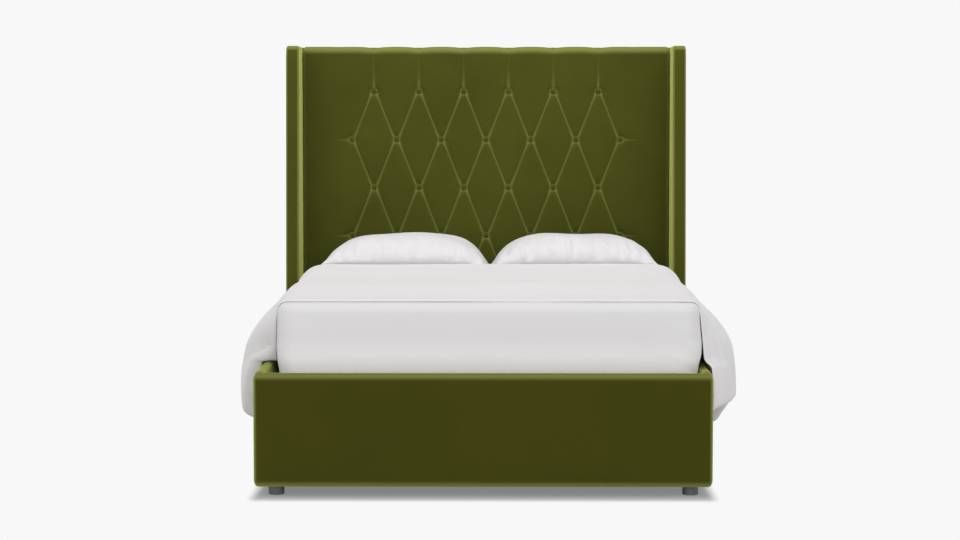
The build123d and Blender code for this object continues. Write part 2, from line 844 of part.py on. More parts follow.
# Sprung slats in their holders
slat_low = tube_top + holder_floor + holder_play
slat_high = mattress_low - slat_crown_gap
slat_bow = slat_high - slat_thickness - slat_low
side_mouth = tube_inner - holder_overhang
holder_depth = slat_width + 2 * (holder_wall + holder_play)
holder_height = holder_floor + slat_thickness + pocket_headroom + holder_wall
centre_half = holder_pocket + holder_wall
slat_start = holder_wall / 2 + holder_play
slat_stop = side_mouth + holder_pocket - holder_play
slat_run = frame_head - frame_foot - 2 * (slat_end_inset + tube_width)
slat_ys = [frame_foot + slat_end_inset + tube_width + slat_run * i / (slat_count - 1)
           for i in range(slat_count)]


def holder_pocket_cut(x, y):
    """Pocket of a slat holder between these distances from the middle."""
    box_between(x, (y - slat_width / 2 - holder_play, y + slat_width / 2 + holder_play),
                (tube_top + holder_floor, tube_top + holder_height - holder_wall),
                mode=Mode.SUBTRACT)


with BuildPart() as side_holders:
    for y in slat_ys:
        box_between((side_mouth, side_mouth + holder_pocket + holder_wall),
                    (y - holder_depth / 2, y + holder_depth / 2),
                    (tube_top, tube_top + holder_height))
        holder_pocket_cut((side_mouth, side_mouth + holder_pocket), y)
    mirror(about=Plane.YZ)
save(side_holders, "side_slat_holders")

with BuildPart() as centre_holders:
    for y in slat_ys:
        box_between((-centre_half, centre_half), (y - holder_depth / 2, y + holder_depth / 2),
                    (tube_top, tube_top + holder_height))
        holder_pocket_cut((holder_wall / 2, centre_half), y)
        holder_pocket_cut((-centre_half, -holder_wall / 2), y)
save(centre_holders, "centre_slat_holders")

with BuildPart() as slats:
    for y in slat_ys:
        with BuildSketch(front_plane(y + slat_width / 2)):
            with BuildLine():
                middle = (slat_start + slat_stop) / 2
                ThreePointArc((slat_start, slat_low), (middle, slat_low + slat_bow),
                              (slat_stop, slat_low))
                ThreePointArc((slat_start, slat_low + slat_thickness),
                              (middle, slat_low + slat_bow + slat_thickness),
                              (slat_stop, slat_low + slat_thickness))
                Line((slat_start, slat_low), (slat_start, slat_low + slat_thickness))
                Line((slat_stop, slat_low), (slat_stop, slat_low + slat_thickness))
            make_face()
        extrude(amount=slat_width)
    mirror(about=Plane.YZ)
save(slats, "sprung_slats")

# Mattress stops: two bent rods at the foot of the frame, and the pull strap between them
stop_y = frame_face - stop_rod_radius
with BuildPart() as mattress_stops:
    low = tube_low + stop_rod_radius
    high = tube_top + stop_height
    for x in (-stop_offset, stop_offset):
        with BuildLine(front_plane(stop_y)):
            stop_path = FilletPolyline((x - stop_width / 2, low), (x - stop_width / 2, high),
                                       (x + stop_width / 2, high), (x + stop_width / 2, low),
                                       radius=stop_bend_radius)
        with BuildSketch(Plane(origin=stop_path @ 0, z_dir=stop_path % 0)):
            Circle(stop_rod_radius)
        sweep(path=stop_path)
save(mattress_stops, "mattress_stops")

with BuildPart() as pull_strap:
    strap_high = tube_top + strap_rise
    with BuildSketch(front_plane(frame_face)):
        with BuildLine():
            Polyline((-strap_width / 2, strap_high), (-strap_width / 2, tube_low),
                     (strap_width / 2, tube_low), (strap_width / 2, strap_high))
            ThreePointArc((strap_width / 2, strap_high), (0, strap_high + strap_width / 2),
                          (-strap_width / 2, strap_high))
        make_face()
    extrude(amount=strap_thickness)
save(pull_strap, "pull_strap")

# Mattress and the fitted sheet round its top and sides
sheet_step = sheet_thickness + soft_gap


def mattress_block(inset, low, high):
    """Rounded block of the mattress, set in from its outer size."""
    length = mattress_length - 2 * inset
    with BuildSketch(Plane.XY.offset(low)) as section:
        with Locations((mattress_shift, (foot_end + head_end) / 2)):
            RectangleRounded(mattress_width - 2 * inset, length, mattress_corner_radius - inset)
    extrude(section.sketch, amount=high - low)


with BuildPart() as mattress:
    mattress_block(sheet_step, mattress_low, mattress_top - sheet_step)
    top_edges = mattress.faces().sort_by(Axis.Z)[-1].edges()
    low_edges = mattress.faces().sort_by(Axis.Z)[0].edges()
    fillet(top_edges, mattress_top_radius - sheet_step)
    fillet(low_edges, base_edge_radius)
save(mattress, "mattress")

with BuildPart() as fitted_sheet:
    mattress_block(0, mattress_low, mattress_top)
    fillet(fitted_sheet.faces().sort_by(Axis.Z)[-1].edges(), mattress_top_radius)
    with BuildPart(mode=Mode.PRIVATE) as hollow:
        mattress_block(sheet_thickness, mattress_low, mattress_top - sheet_thickness)
        fillet(hollow.faces().sort_by(Axis.Z)[-1].edges(), mattress_top_radius - sheet_thickness)
    add(hollow.part, mode=Mode.SUBTRACT)
save(fitted_sheet, "fitted_sheet")

# Duvet: sections across the bed, joined from the pillows to the foot.
# Its inner side follows one arc on each side, clear of the rails.
inner_top = mattress_top + soft_gap
inner_shoulder_z = mattress_top - mattress_top_radius
inner_apex_x = base_half + duvet_drop_clearance
inner_apex_z = duvet_apex_height
bulge_share = duvet_bulge_drop / (inner_shoulder_z - duvet_right_hem_height)
slope_share = duvet_slope_drop / (inner_shoulder_z - duvet_right_hem_height)


def shoulder_at(side):
    """Distance of the duvet's inner face from the middle of the bed, beside the mattress."""
    return mattress_half + side * mattress_shift + soft_gap


def inner_x(side, z):
    """Distance of the duvet's inner side from the middle of the bed at a height."""
    sag = inner_apex_x - shoulder_at(side)
    radius = (sag ** 2 + (inner_shoulder_z - inner_apex_z) ** 2) / (2 * sag)
    return inner_apex_x - radius + math.sqrt(radius ** 2 - (z - inner_apex_z) ** 2)


def drop_side(side, full_low, drop, flare, thin, shoulder, slope):
    """Inner and outer edges of one side drop, from its hem up to the top of the mattress."""
    top = inner_top + thin * duvet_thickness
    length = drop * (inner_shoulder_z - full_low)
    low = inner_shoulder_z - length
    hem_inner = inner_x(side, low)
    mid_z = inner_shoulder_z - bulge_share * length
    slope_z = inner_shoulder_z - slope_share * length
    fullness = flare * duvet_flare
    outer_mid = min(inner_x(side, mid_z) + fullness, duvet_bulge)
    hem_outer = min(hem_inner + fullness, duvet_bulge)
    hem_depth = min(duvet_hem_depth, duvet_hem_depth_ratio * fullness)
    inner_shoulder_x = shoulder_at(side)
    shoulder_corner = inner_shoulder_x - mattress_top_radius
    shoulder_x = inner_shoulder_x + thin * shoulder
    slope_x = inner_x(side, slope_z) + thin * (shoulder + flare * (slope - shoulder))
    corner_share = 1 - math.sqrt(0.5)
    Line((side * shoulder_corner, inner_top), (mattress_shift, inner_top))
    ThreePointArc((side * shoulder_corner, inner_top),
                  (side * (inner_shoulder_x - corner_share * mattress_top_radius),
                   inner_top - corner_share * (inner_top - inner_shoulder_z)),
                  (side * inner_shoulder_x, inner_shoulder_z))
    ThreePointArc((side * inner_shoulder_x, inner_shoulder_z),
                  (side * inner_x(side, mid_z), mid_z), (side * hem_inner, low))
    ThreePointArc((side * hem_inner, low),
                  (side * (hem_inner + hem_outer) / 2, low - hem_depth),
                  (side * hem_outer, low))
    Line((side * outer_mid, mid_z), (side * hem_outer, low))
    TangentArc((side * outer_mid, mid_z), (side * slope_x, slope_z), tangent=(0, 1))
    Line((side * slope_x, slope_z), (side * shoulder_x, inner_shoulder_z))
    TangentArc((side * (inner_shoulder_x - top_run(thin)), top),
               (side * shoulder_x, inner_shoulder_z), tangent=(side, 0))


def top_run(thin):
    """How far inside the mattress's side the duvet's top starts to fall."""
    return duvet_foot_shoulder_run + thin * (duvet_shoulder_run - duvet_foot_shoulder_run)


duvet_run = duvet_foot_reach - duvet_head_reach
with BuildPart() as duvet:
    for reach, left_drop, right_drop, left_flare, right_flare, thin in zip(
            reach_shares, left_drop_shares, right_drop_shares, left_flare_shares,
            right_flare_shares, thickness_shares):
        top = inner_top + thin * duvet_thickness
        with BuildSketch(front_plane(at_reach(duvet_head_reach + reach * duvet_run))):
            with BuildLine():
                drop_side(-1, duvet_left_hem_height, left_drop, left_flare, thin,
                          duvet_left_shoulder, duvet_left_slope)
                drop_side(1, duvet_right_hem_height, right_drop, right_flare, thin,
                          duvet_right_shoulder, duvet_right_slope)
                ThreePointArc((top_run(thin) - shoulder_at(-1), top),
                              (mattress_shift, top + thin * duvet_crown),
                              (shoulder_at(1) - top_run(thin), top))
            make_face()
    loft(ruled=True)
save(duvet, "duvet")

# Pillow: lens-shaped sections from side to side, thin at the corners
pillow_low = mattress_top + soft_gap
pillow_y = head_end - pillow_head_gap - pillow_depth / 2
pillow_x = (pillow_width + pillow_between) / 2


def pillow_form(side):
    """One pillow, on the left or the right of the mattress's middle."""
    sections = []
    for span, loft_share, depth_share in zip(pillow_span_shares, pillow_loft_shares,
                                             pillow_depth_shares):
        seam = pillow_low + pillow_seam_rise
        half = pillow_depth * depth_share / 2
        crown = seam + (pillow_loft - pillow_seam_rise) * loft_share
        belly = seam - pillow_seam_rise * loft_share
        x = mattress_shift + side * pillow_x + span * pillow_width
        with BuildSketch(Plane.YZ.offset(x)) as section:
            with BuildLine():
                ThreePointArc((pillow_y - half, seam), (pillow_y, crown), (pillow_y + half, seam))
                ThreePointArc((pillow_y - half, seam), (pillow_y, belly), (pillow_y + half, seam))
            make_face()
        sections.append(section.sketch)
    loft(sections)


with BuildPart() as left_pillow:
    pillow_form(-1)
save(left_pillow, "left_pillow")

with BuildPart() as right_pillow:
    pillow_form(1)
save(right_pillow, "right_pillow")

print("overall length", round(overall_length, 1), "platform tube", tube_low, tube_top)
print("mattress", mattress_low, mattress_top)
print("pivots, reach and height:")
for name, pivot in (("rear pivot", rear_pivot), ("rear joint", rear_joint),
                    ("open pin", open_pin), ("front pivot", front_pivot),
                    ("strut low", strut_low), ("strut high", strut_high)):
    print(" ", name, [round(value, 2) for value in pivot],
          "y", round(at_reach(pivot[0]), 2))
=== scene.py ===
# %% [markdown]
# # A wingback storage bed in green velvet
# The bed is a construction model already: base, linkage, platform and headboard come from the
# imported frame, at their real size. This lesson dresses that frame. Hard pieces keep their
# construction mesh and get a finish. Padded and woven pieces are drawn again as surfaces, because
# cloth is never as flat as the block that stands for it.

# %% Load the frame
import math

import bpy
import numpy as np
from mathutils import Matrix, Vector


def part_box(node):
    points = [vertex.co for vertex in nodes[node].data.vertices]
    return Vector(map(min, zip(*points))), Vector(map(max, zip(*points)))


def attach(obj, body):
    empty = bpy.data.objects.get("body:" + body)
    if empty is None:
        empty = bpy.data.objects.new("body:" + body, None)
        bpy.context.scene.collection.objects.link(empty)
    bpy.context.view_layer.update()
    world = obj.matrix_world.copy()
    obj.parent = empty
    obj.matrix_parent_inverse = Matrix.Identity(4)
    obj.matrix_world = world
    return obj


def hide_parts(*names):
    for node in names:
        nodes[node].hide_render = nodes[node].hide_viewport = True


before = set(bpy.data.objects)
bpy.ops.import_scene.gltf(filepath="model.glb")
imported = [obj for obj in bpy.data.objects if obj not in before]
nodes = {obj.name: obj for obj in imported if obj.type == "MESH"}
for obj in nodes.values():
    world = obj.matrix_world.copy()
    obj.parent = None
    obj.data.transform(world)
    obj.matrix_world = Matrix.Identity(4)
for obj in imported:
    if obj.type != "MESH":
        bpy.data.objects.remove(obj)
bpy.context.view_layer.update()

# %% [markdown]
# ## The camera
# The photograph looks at the bed from the foot end, from a little above the headboard's middle and
# with a long lens. The place was worked out from the corners of the footboard and the headboard
# and from the rows of buttons, whose real distances the frame gives.

# %% Camera
camera_place = (0.0475, -8.8196, 1.3376)
camera_pitch = math.radians(4.015)
camera_turn = math.radians(0.4305)
camera_data = bpy.data.cameras.new("photo_camera")
camera_data.sensor_width = 36.0
camera_data.lens = 84.06
camera_data.clip_end = 60.0
camera = bpy.data.objects.new("photo_camera", camera_data)
camera.location = camera_place
camera.rotation_euler = (math.pi / 2 - camera_pitch, 0.0, camera_turn)
bpy.context.scene.collection.objects.link(camera)
bpy.context.scene.camera = camera
print("camera", math.dist(camera_place, (0, -1.1, 0.6)), "m from the footboard")

# %% [markdown]
# ## Surfaces from arrays
# Every new piece is a grid of points that numpy works out at once. The padded ones start as the
# shell of a block: six grids that share their edge lines, so that the faces meet with no gap. An
# edge is rounded by measuring each point from an inner, smaller block.


# %% Helpers for surfaces
def put_mesh(name, points, faces, smooth=True):
    """Object made of points and faces, linked to the scene, with its place in its mesh. A fourth
    column of points becomes a point attribute that holds the velvet's painted highlight."""
    mesh = bpy.data.meshes.new(name)
    mesh.from_pydata(np.asarray(points[:, :3], dtype=float).tolist(), [], faces)
    mesh.update()
    if points.shape[1] > 3:
        mesh.attributes.new("painted_sheen", "FLOAT", "POINT").data.foreach_set("value", points[:, 3])
    mesh.shade_smooth() if smooth else mesh.shade_flat()
    piece = bpy.data.objects.new(name, mesh)
    bpy.context.scene.collection.objects.link(piece)
    return piece


def grid_faces(rows, columns, wrap_rows=False, wrap_columns=False, start=0):
    """Quads of a grid of rows x columns points, counted row by row from start."""
    row = np.arange(rows if wrap_rows else rows - 1)
    column = np.arange(columns if wrap_columns else columns - 1)
    row, column = np.meshgrid(row, column, indexing="ij")
    next_row, next_column = (row + 1) % rows, (column + 1) % columns
    corners = [row * columns + column, next_row * columns + column,
               next_row * columns + next_column, row * columns + next_column]
    return np.stack(corners, axis=-1).reshape(-1, 4) + start


def weld(points, faces, digits=6):
    """Joins points that share a place, and drops faces that lose their area."""
    kept, first, index = np.unique(np.round(points[:, :3], digits), axis=0, return_index=True,
                                   return_inverse=True)
    faces = index.reshape(-1)[faces]
    ordered = np.sort(faces, axis=1)
    repeats = (np.diff(ordered, axis=1) == 0).sum(axis=1)
    quads = [list(dict.fromkeys(face)) if again else list(face)
             for face, again in zip(faces.tolist(), repeats) if again < 2]
    return points[first], quads


def edge_lines(low, high, radius, spacing, open_low=False, open_high=False):
    """Places along one side of a block. Within a radius of each closed end they follow the
    tangent of equal angles, so that the rounded edge is evenly divided, and between they are
    evenly apart."""
    turn = radius * np.tan(np.linspace(math.pi / 4, 0, 7))[:-1]
    first = low if open_low else low + radius
    last = high if open_high else high - radius
    count = max(2, int(math.ceil((last - first) / spacing)) + 1)
    return np.concatenate([turn[:0] if open_low else first - turn,
                           np.linspace(first, last, count),
                           turn[:0] if open_high else (last + turn)[::-1]])


def block_shell(low, high, radius, spacing, open_faces=(), plan_radius=0.0):
    """Points, outward directions and quads of a block with rounded edges. A point p of the sharp
    block is measured from q, the nearest point of the block shrunk by the radius, and moved to
    q + radius * (p - q) / |p - q|. open_faces names sides to leave out, such as ("-z",), whose
    edges aren't rounded. plan_radius rounds the upright edges by that much more, by setting q
    further in and then out again along the level part of p - q."""
    low, high = np.array(low, dtype=float), np.array(high, dtype=float)
    spacing = np.broadcast_to(spacing, 3)
    open_low = np.array(["-" + side in open_faces for side in "xyz"])
    open_high = np.array(["+" + side in open_faces for side in "xyz"])
    lines = [edge_lines(low[i], high[i], radius, spacing[i], open_low[i], open_high[i])
             for i in range(3)]
    points, faces, start = [], [], 0
    for axis in range(3):
        first, second = (axis + 1) % 3, (axis + 2) % 3
        a, b = np.meshgrid(lines[first], lines[second], indexing="ij")
        for sign, end in (("-", low[axis]), ("+", high[axis])):
            if sign + "xyz"[axis] in open_faces:
                continue
            side = np.empty(a.shape + (3,))
            side[..., first], side[..., second], side[..., axis] = a, b, end
            quads = grid_faces(*a.shape, start=start)
            faces.append(quads if sign == "+" else quads[:, ::-1])
            points.append(side.reshape(-1, 3))
            start += a.size
    points, faces = np.concatenate(points), np.concatenate(faces)
    inner = np.clip(points, np.where(open_low, low, low + radius),
                    np.where(open_high, high, high - radius))
    out = points - inner
    out /= np.linalg.norm(out, axis=1, keepdims=True)
    if plan_radius:
        level = out[:, :2] / np.maximum(np.linalg.norm(out[:, :2], axis=1, keepdims=True), 1e-9)
        inset = radius + plan_radius
        inner[:, :2] = np.clip(inner[:, :2], (low + inset)[:2], (high - inset)[:2])
        inner[:, :2] += plan_radius * level
    return inner + radius * out, out, faces


def arris_painted_sheen(out):
    """Painted highlight of an arris: 1 halfway round an edge and 0 on a flat face: (2 c s)^2,
    where c is the outward direction's largest part and s the rest of it."""
    square = np.max(np.abs(out), axis=1) ** 2
    return 4 * square * np.clip(1 - square, 0, 1)


def smooth_step(value, low, high):
    """0 below low and 1 above high, with an even turn between: 3 t t - 2 t t t."""
    t = np.clip((value - low) / (high - low), 0, 1)
    return t * t * (3 - 2 * t)


def waves(x, y, seed, count, shortest, longest):
    """Sum of count plane waves of random direction, length and phase, about -1 to 1."""
    chance = np.random.default_rng(seed)
    total = np.zeros(np.broadcast(x, y).shape)
    for _ in range(count):
        length = chance.uniform(shortest, longest)
        angle, phase = chance.uniform(0, 2 * math.pi, 2)
        total += np.sin(2 * math.pi * (x * math.cos(angle) + y * math.sin(angle)) / length + phase)
    return total / math.sqrt(count) / 1.6


print("helpers ready: block_shell, weld, waves")

# %% [markdown]
# ## Finishes as nodes
# A finish is a small network that ends in one Principled shader. What is the same all over the
# surface is set on the shader's own sockets. What varies, such as the pile, the weave or the
# grain, comes from noise that reads the piece's own coordinates, in metres.


# %% Helpers for finishes
def finish(name, base, rough, **sockets):
    """New material with one Principled shader, and its node tree."""
    material = bpy.data.materials.new(name)
    material.use_nodes = True
    tree = material.node_tree
    shader = tree.nodes["Principled BSDF"]
    shader.inputs["Base Color"].default_value = (*base, 1.0)
    shader.inputs["Roughness"].default_value = rough
    for socket, value in sockets.items():
        shader.inputs[socket.replace("_", " ")].default_value = value
    material.diffuse_color = (*base, 1.0)
    return material, tree, shader


def add_node(tree, kind, **sockets):
    """New node of a kind, with values for some of its inputs."""
    node = tree.nodes.new("ShaderNode" + kind)
    for socket, value in sockets.items():
        node.inputs[socket.replace("_", " ")].default_value = value
    return node


def own_coordinates(tree, stretch=(1.0, 1.0, 1.0)):
    """The piece's own coordinates, in metres, stretched along an axis where a grain runs."""
    place = add_node(tree, "TexCoord")
    mapping = add_node(tree, "Mapping", Scale=stretch)
    tree.links.new(place.outputs["Object"], mapping.inputs["Vector"])
    return mapping.outputs["Vector"]


def noise(tree, where, scale, detail=3.0, roughness=0.55, distortion=0.0):
    """Noise value between 0 and 1."""
    node = add_node(tree, "TexNoise", Scale=scale, Detail=detail, Roughness=roughness,
                    Distortion=distortion)
    tree.links.new(where, node.inputs["Vector"])
    return node.outputs["Fac"]


def bump(tree, shader, height, distance, strength=1.0):
    """Bump from a height, in metres, added before any bump that the shader already has."""
    node = add_node(tree, "Bump", Strength=strength, Distance=distance)
    tree.links.new(height, node.inputs["Height"])
    if shader.inputs["Normal"].is_linked:
        tree.links.new(shader.inputs["Normal"].links[0].from_socket, node.inputs["Normal"])
    tree.links.new(node.outputs["Normal"], shader.inputs["Normal"])


def blend_colours(tree, shader, factor, low_colour, high_colour, low=0.3, high=0.7):
    """Base colour that runs from one colour to another as the factor goes from low to high."""
    ramp = add_node(tree, "ValToRGB")
    ramp.color_ramp.elements[0].position = low
    ramp.color_ramp.elements[1].position = high
    ramp.color_ramp.elements[0].color = (*low_colour, 1.0)
    ramp.color_ramp.elements[1].color = (*high_colour, 1.0)
    tree.links.new(factor, ramp.inputs["Fac"])
    tree.links.new(ramp.outputs["Color"], shader.inputs["Base Color"])
    return ramp


def vary_roughness(tree, shader, factor, low, high):
    """Roughness that runs from low to high with the factor."""
    node = add_node(tree, "MapRange", To_Min=low, To_Max=high)
    tree.links.new(factor, node.inputs["Value"])
    tree.links.new(node.outputs["Result"], shader.inputs["Roughness"])


# %% [markdown]
# ## Velvet
# Velvet is dark where it is seen face on, because its upright pile swallows the light, and bright
# where it turns away, because the tips of the pile catch it. The Principled sheen does that. Over
# an arris, along the wall of a fold and round a button the base colour is also lightened by a
# painted highlight, held in a point attribute, for the sheen that the shader gives too weakly at
# middle angles. The pile itself is a bump finer than a millimetre, and a wide, faint noise stands
# for the way a hand has brushed it.

# %% Velvet
# How much lighter the painted highlight makes the velvet's base colour.
painted_sheen_gain = (0.124, 0.136, 0.042)


def velvet_finish(name, colour, mottle):
    """Velvet of one brushed tone, with its pile, its sheen, a faint mottle and a painted highlight
    where the point attribute asks for it.
    """
    material, tree, shader = finish(name, colour, 0.95, Sheen_Weight=0.9, Sheen_Roughness=0.36,
                                    Sheen_Tint=(0.93, 1.0, 0.27, 1.0), Specular_IOR_Level=0.05)
    where = own_coordinates(tree)
    brushed = noise(tree, where, 3.2, 4.0, 0.6, 0.4)
    ramp = blend_colours(tree, shader, brushed, tuple((1 - mottle) * c for c in colour),
                         tuple((1 + mottle) * c for c in colour), 0.25, 0.75)
    # Painted highlight: the point attribute mixes the base colour towards a lighter green.
    painted_sheen = add_node(tree, "Attribute")
    painted_sheen.attribute_name = "painted_sheen"
    sheen_paint_mix = add_node(tree, "Mix")
    sheen_paint_mix.data_type = "RGBA"
    tree.links.new(painted_sheen.outputs["Fac"], sheen_paint_mix.inputs["Factor"])
    tree.links.new(ramp.outputs["Color"], sheen_paint_mix.inputs["A"])
    sheen_paint_mix.inputs["B"].default_value = (*(c + g for c, g in zip(colour, painted_sheen_gain)), 1.0)
    tree.links.new(sheen_paint_mix.outputs["Result"], shader.inputs["Base Color"])
    bump(tree, shader, noise(tree, where, 1100.0, 2.0), 0.0005, 0.5)
    bump(tree, shader, noise(tree, where, 38.0, 3.0, 0.6), 0.0008, 0.25)
    return material


# Painted light: the headboard's velvet is the same cloth as the base's, painted lighter for the
# stronger light that falls on the headboard.
base_velvet = velvet_finish("base_velvet", (0.052, 0.0525, 0.0056), 0.05)
head_velvet_painted_lighter = velvet_finish("headboard_velvet_painted_light", (0.068, 0.0725, 0.0100), 0.13)
print("velvet in two tones ready")

# %% [markdown]
# ## White cotton
# Sheet, duvet and pillowcases are plain white cotton. Its weave is far finer than a pixel, so it
# only needs to soften the light. The crumples matter more: a warped noise of a few centimetres,
# low enough that the cloth still looks smooth. The pillowcases are painted a darker white, as
# painted shade against the lamp above them, and the sheet is painted whiter low on its sides, as
# painted light against the shade that footboard and rails cast there.


# %% Cotton
def cotton_finish(name, colour, crumple, crumple_depth):
    """Cotton with a fine weave and crumples of about 1 / crumple metres."""
    material, tree, shader = finish(name, colour, 0.88, Sheen_Weight=0.25, Sheen_Roughness=0.5,
                                    Specular_IOR_Level=0.2)
    where = own_coordinates(tree)
    blend_colours(tree, shader, noise(tree, where, 2.0, 2.0),
                  tuple(0.985 * c for c in colour), colour)
    bump(tree, shader, noise(tree, where, 1600.0, 1.0), 0.0003, 0.3)
    bump(tree, shader, noise(tree, where, crumple, 3.0, 0.5, 1.2), crumple_depth, 1.0)
    return material


painted_light_low = 0.41
painted_light_high = 0.57
painted_light_white = (0.97, 0.955, 0.97, 1.0)

duvet_cotton = cotton_finish("duvet_cotton", (0.80, 0.785, 0.785), 7.0, 0.006)
sheet_cotton = cotton_finish("sheet_cotton", (0.765, 0.75, 0.755), 3.5, 0.0022)
# Painted shade: the pillowcases are a darker white than the duvet, to offset the lamp close above
# them.
pillow_cotton_painted_shade = cotton_finish("pillow_cotton_painted_shade", (0.735, 0.72, 0.725), 9.0, 0.006)

# Painted light: below a height the sheet's base colour turns whiter, to lift the shade that
# footboard and rails cast on its lowest part.
tree = sheet_cotton.node_tree
shader = tree.nodes["Principled BSDF"]
height = add_node(tree, "SeparateXYZ")
tree.links.new(own_coordinates(tree), height.inputs["Vector"])
painted_light_fade = add_node(tree, "MapRange", From_Min=painted_light_low, From_Max=painted_light_high)
painted_light_fade.interpolation_type = "SMOOTHSTEP"
tree.links.new(height.outputs["Z"], painted_light_fade.inputs["Value"])
painted_light_mix = add_node(tree, "Mix")
painted_light_mix.data_type = "RGBA"
painted_light_mix.inputs["A"].default_value = painted_light_white
tree.links.new(painted_light_fade.outputs["Result"], painted_light_mix.inputs["Factor"])
tree.links.new(shader.inputs["Base Color"].links[0].from_socket, painted_light_mix.inputs["B"])
tree.links.new(painted_light_mix.outputs["Result"], shader.inputs["Base Color"])

ticking, tree, shader = finish("mattress_ticking", (0.80, 0.79, 0.76), 0.9, Sheen_Weight=0.2,
                               Sheen_Roughness=0.5)
where = own_coordinates(tree)
blend_colours(tree, shader, noise(tree, where, 240.0, 2.0), (0.72, 0.71, 0.68), (0.82, 0.81, 0.78))
bump(tree, shader, noise(tree, where, 240.0, 2.0), 0.0008)

# %% [markdown]
# ## The hard finishes
# Wood gets its grain from noise that is stretched along the board. Powder coat has a faint orange
# peel, zinc plate a fine brushed noise, and moulded plastic a grain that breaks up the highlight.

# %% Wood, board and metal
def wood_finish(name, light, dark, along, rough=0.6):
    """Planed wood with its grain along one axis."""
    material, tree, shader = finish(name, light, rough, Specular_IOR_Level=0.3)
    stretch = tuple(1.5 if i == "xyz".index(along) else 26.0 for i in range(3))
    where = own_coordinates(tree, stretch)
    grain = noise(tree, where, 1.6, 6.0, 0.62, 0.7)
    blend_colours(tree, shader, grain, dark, light, 0.32, 0.66)
    vary_roughness(tree, shader, grain, rough - 0.1, rough + 0.1)
    bump(tree, shader, grain, 0.0006, 0.6)
    return material


pine_along = wood_finish("pine", (0.66, 0.47, 0.27), (0.47, 0.29, 0.14), "y")
pine_up = wood_finish("pine_upright", (0.66, 0.47, 0.27), (0.47, 0.29, 0.14), "z")
beech = wood_finish("beech_slats", (0.66, 0.45, 0.26), (0.54, 0.34, 0.18), "x", 0.35)


def board_finish(name, light, dark):
    """Fibreboard: close specks of two browns, and a matt, slightly furry face."""
    material, tree, shader = finish(name, light, 0.75, Specular_IOR_Level=0.25)
    where = own_coordinates(tree)
    blend_colours(tree, shader, noise(tree, where, 420.0, 5.0, 0.7), dark, light, 0.35, 0.65)
    bump(tree, shader, noise(tree, where, 700.0, 3.0), 0.0003, 0.5)
    return material


fibreboard = board_finish("fibreboard", (0.36, 0.25, 0.15), (0.26, 0.17, 0.09))


def metal_finish(name, colour, metallic, rough_low, rough_high, grain, depth):
    """Metal or paint whose roughness and bump follow one fine noise."""
    material, tree, shader = finish(name, colour, rough_low, Metallic=metallic)
    where = own_coordinates(tree)
    fine = noise(tree, where, grain, 3.0, 0.6)
    blend_colours(tree, shader, fine, tuple(0.9 * c for c in colour), colour)
    vary_roughness(tree, shader, fine, rough_low, rough_high)
    bump(tree, shader, fine, depth, 0.5)
    return material


black_steel = metal_finish("powder_coated_steel", (0.022, 0.022, 0.024), 0.0, 0.42, 0.6,
                           900.0, 0.0003)
zinc_steel = metal_finish("zinc_plated_steel", (0.62, 0.62, 0.60), 1.0, 0.28, 0.45, 500.0, 0.0002)
strut_chrome = metal_finish("polished_rod", (0.74, 0.74, 0.76), 1.0, 0.06, 0.14, 300.0, 0.00003)
black_plastic = metal_finish("moulded_black", (0.018, 0.018, 0.019), 0.0, 0.5, 0.66,
                             1300.0, 0.0002)
glide_plastic = metal_finish("glide_grey", (0.17, 0.17, 0.17), 0.0, 0.45, 0.6, 900.0, 0.0002)
bumper_rubber = metal_finish("bumper_rubber", (0.03, 0.03, 0.03), 0.0, 0.8, 0.95, 600.0, 0.0003)

lining_cloth, tree, shader = finish("black_lining", (0.014, 0.014, 0.015), 0.92,
                                    Sheen_Weight=0.3, Sheen_Roughness=0.5)
where = own_coordinates(tree)
bump(tree, shader, noise(tree, where, 650.0, 4.0, 0.7), 0.0005)
webbing, tree, shader = finish("black_webbing", (0.02, 0.02, 0.022), 0.8, Sheen_Weight=0.4,
                               Sheen_Roughness=0.4)
where = own_coordinates(tree, (1.0, 1.0, 3.0))
bump(tree, shader, noise(tree, where, 480.0, 1.0), 0.0006)
print("materials:", len(bpy.data.materials))


# %% Dress the construction nodes that keep their mesh
def dress(material, *names):
    """Gives construction nodes one material."""
    for name in names:
        mesh = nodes[name].data
        mesh.materials.clear()
        mesh.materials.append(material)


dress(fibreboard, "left_floor_board", "right_floor_board")
dress(head_velvet_painted_lighter, "headboard_board")
dress(pine_along, "floor_rail", "floor_ledges")
dress(pine_up, "corner_blocks")
dress(beech, "sprung_slats")
dress(glide_plastic, "glides")
dress(black_plastic, "side_slat_holders", "centre_slat_holders", "tube_caps")
dress(bumper_rubber, "platform_bumpers")
dress(zinc_steel, "frame_bolts", "head_brackets", "wing_plates", "wing_plate_screws",
      "base_plate_screws", "base_pivots", "platform_pivots")
dress(black_steel, "left_base_plate", "right_base_plate", "left_platform_plate",
      "right_platform_plate", "left_rear_link", "right_rear_link", "left_front_link",
      "right_front_link", "left_platform_side_tube", "right_platform_side_tube",
      "platform_end_tubes", "platform_centre_tube", "mattress_stops", "left_strut_tube",
      "right_strut_tube")
dress(strut_chrome, "left_strut_rod", "right_strut_rod")
print("dressed construction nodes with", len(bpy.data.materials), "materials")

# %% [markdown]
# ## The upholstered boards
# Footboard, side rails, wings and lower panel are boards under foam and velvet. The foam swells a
# few millimetres between the edges, and the velvet is pulled tight over rounded arrises. Each one
# replaces its plain block. The wings lean: their front edge comes forward towards the floor.


# %% Boards in velvet
def take_place(piece, node, material, body):
    """Puts a finished piece in the place of a node, on its body."""
    piece.data.materials.append(material)
    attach(piece, body)
    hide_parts(node)
    return piece


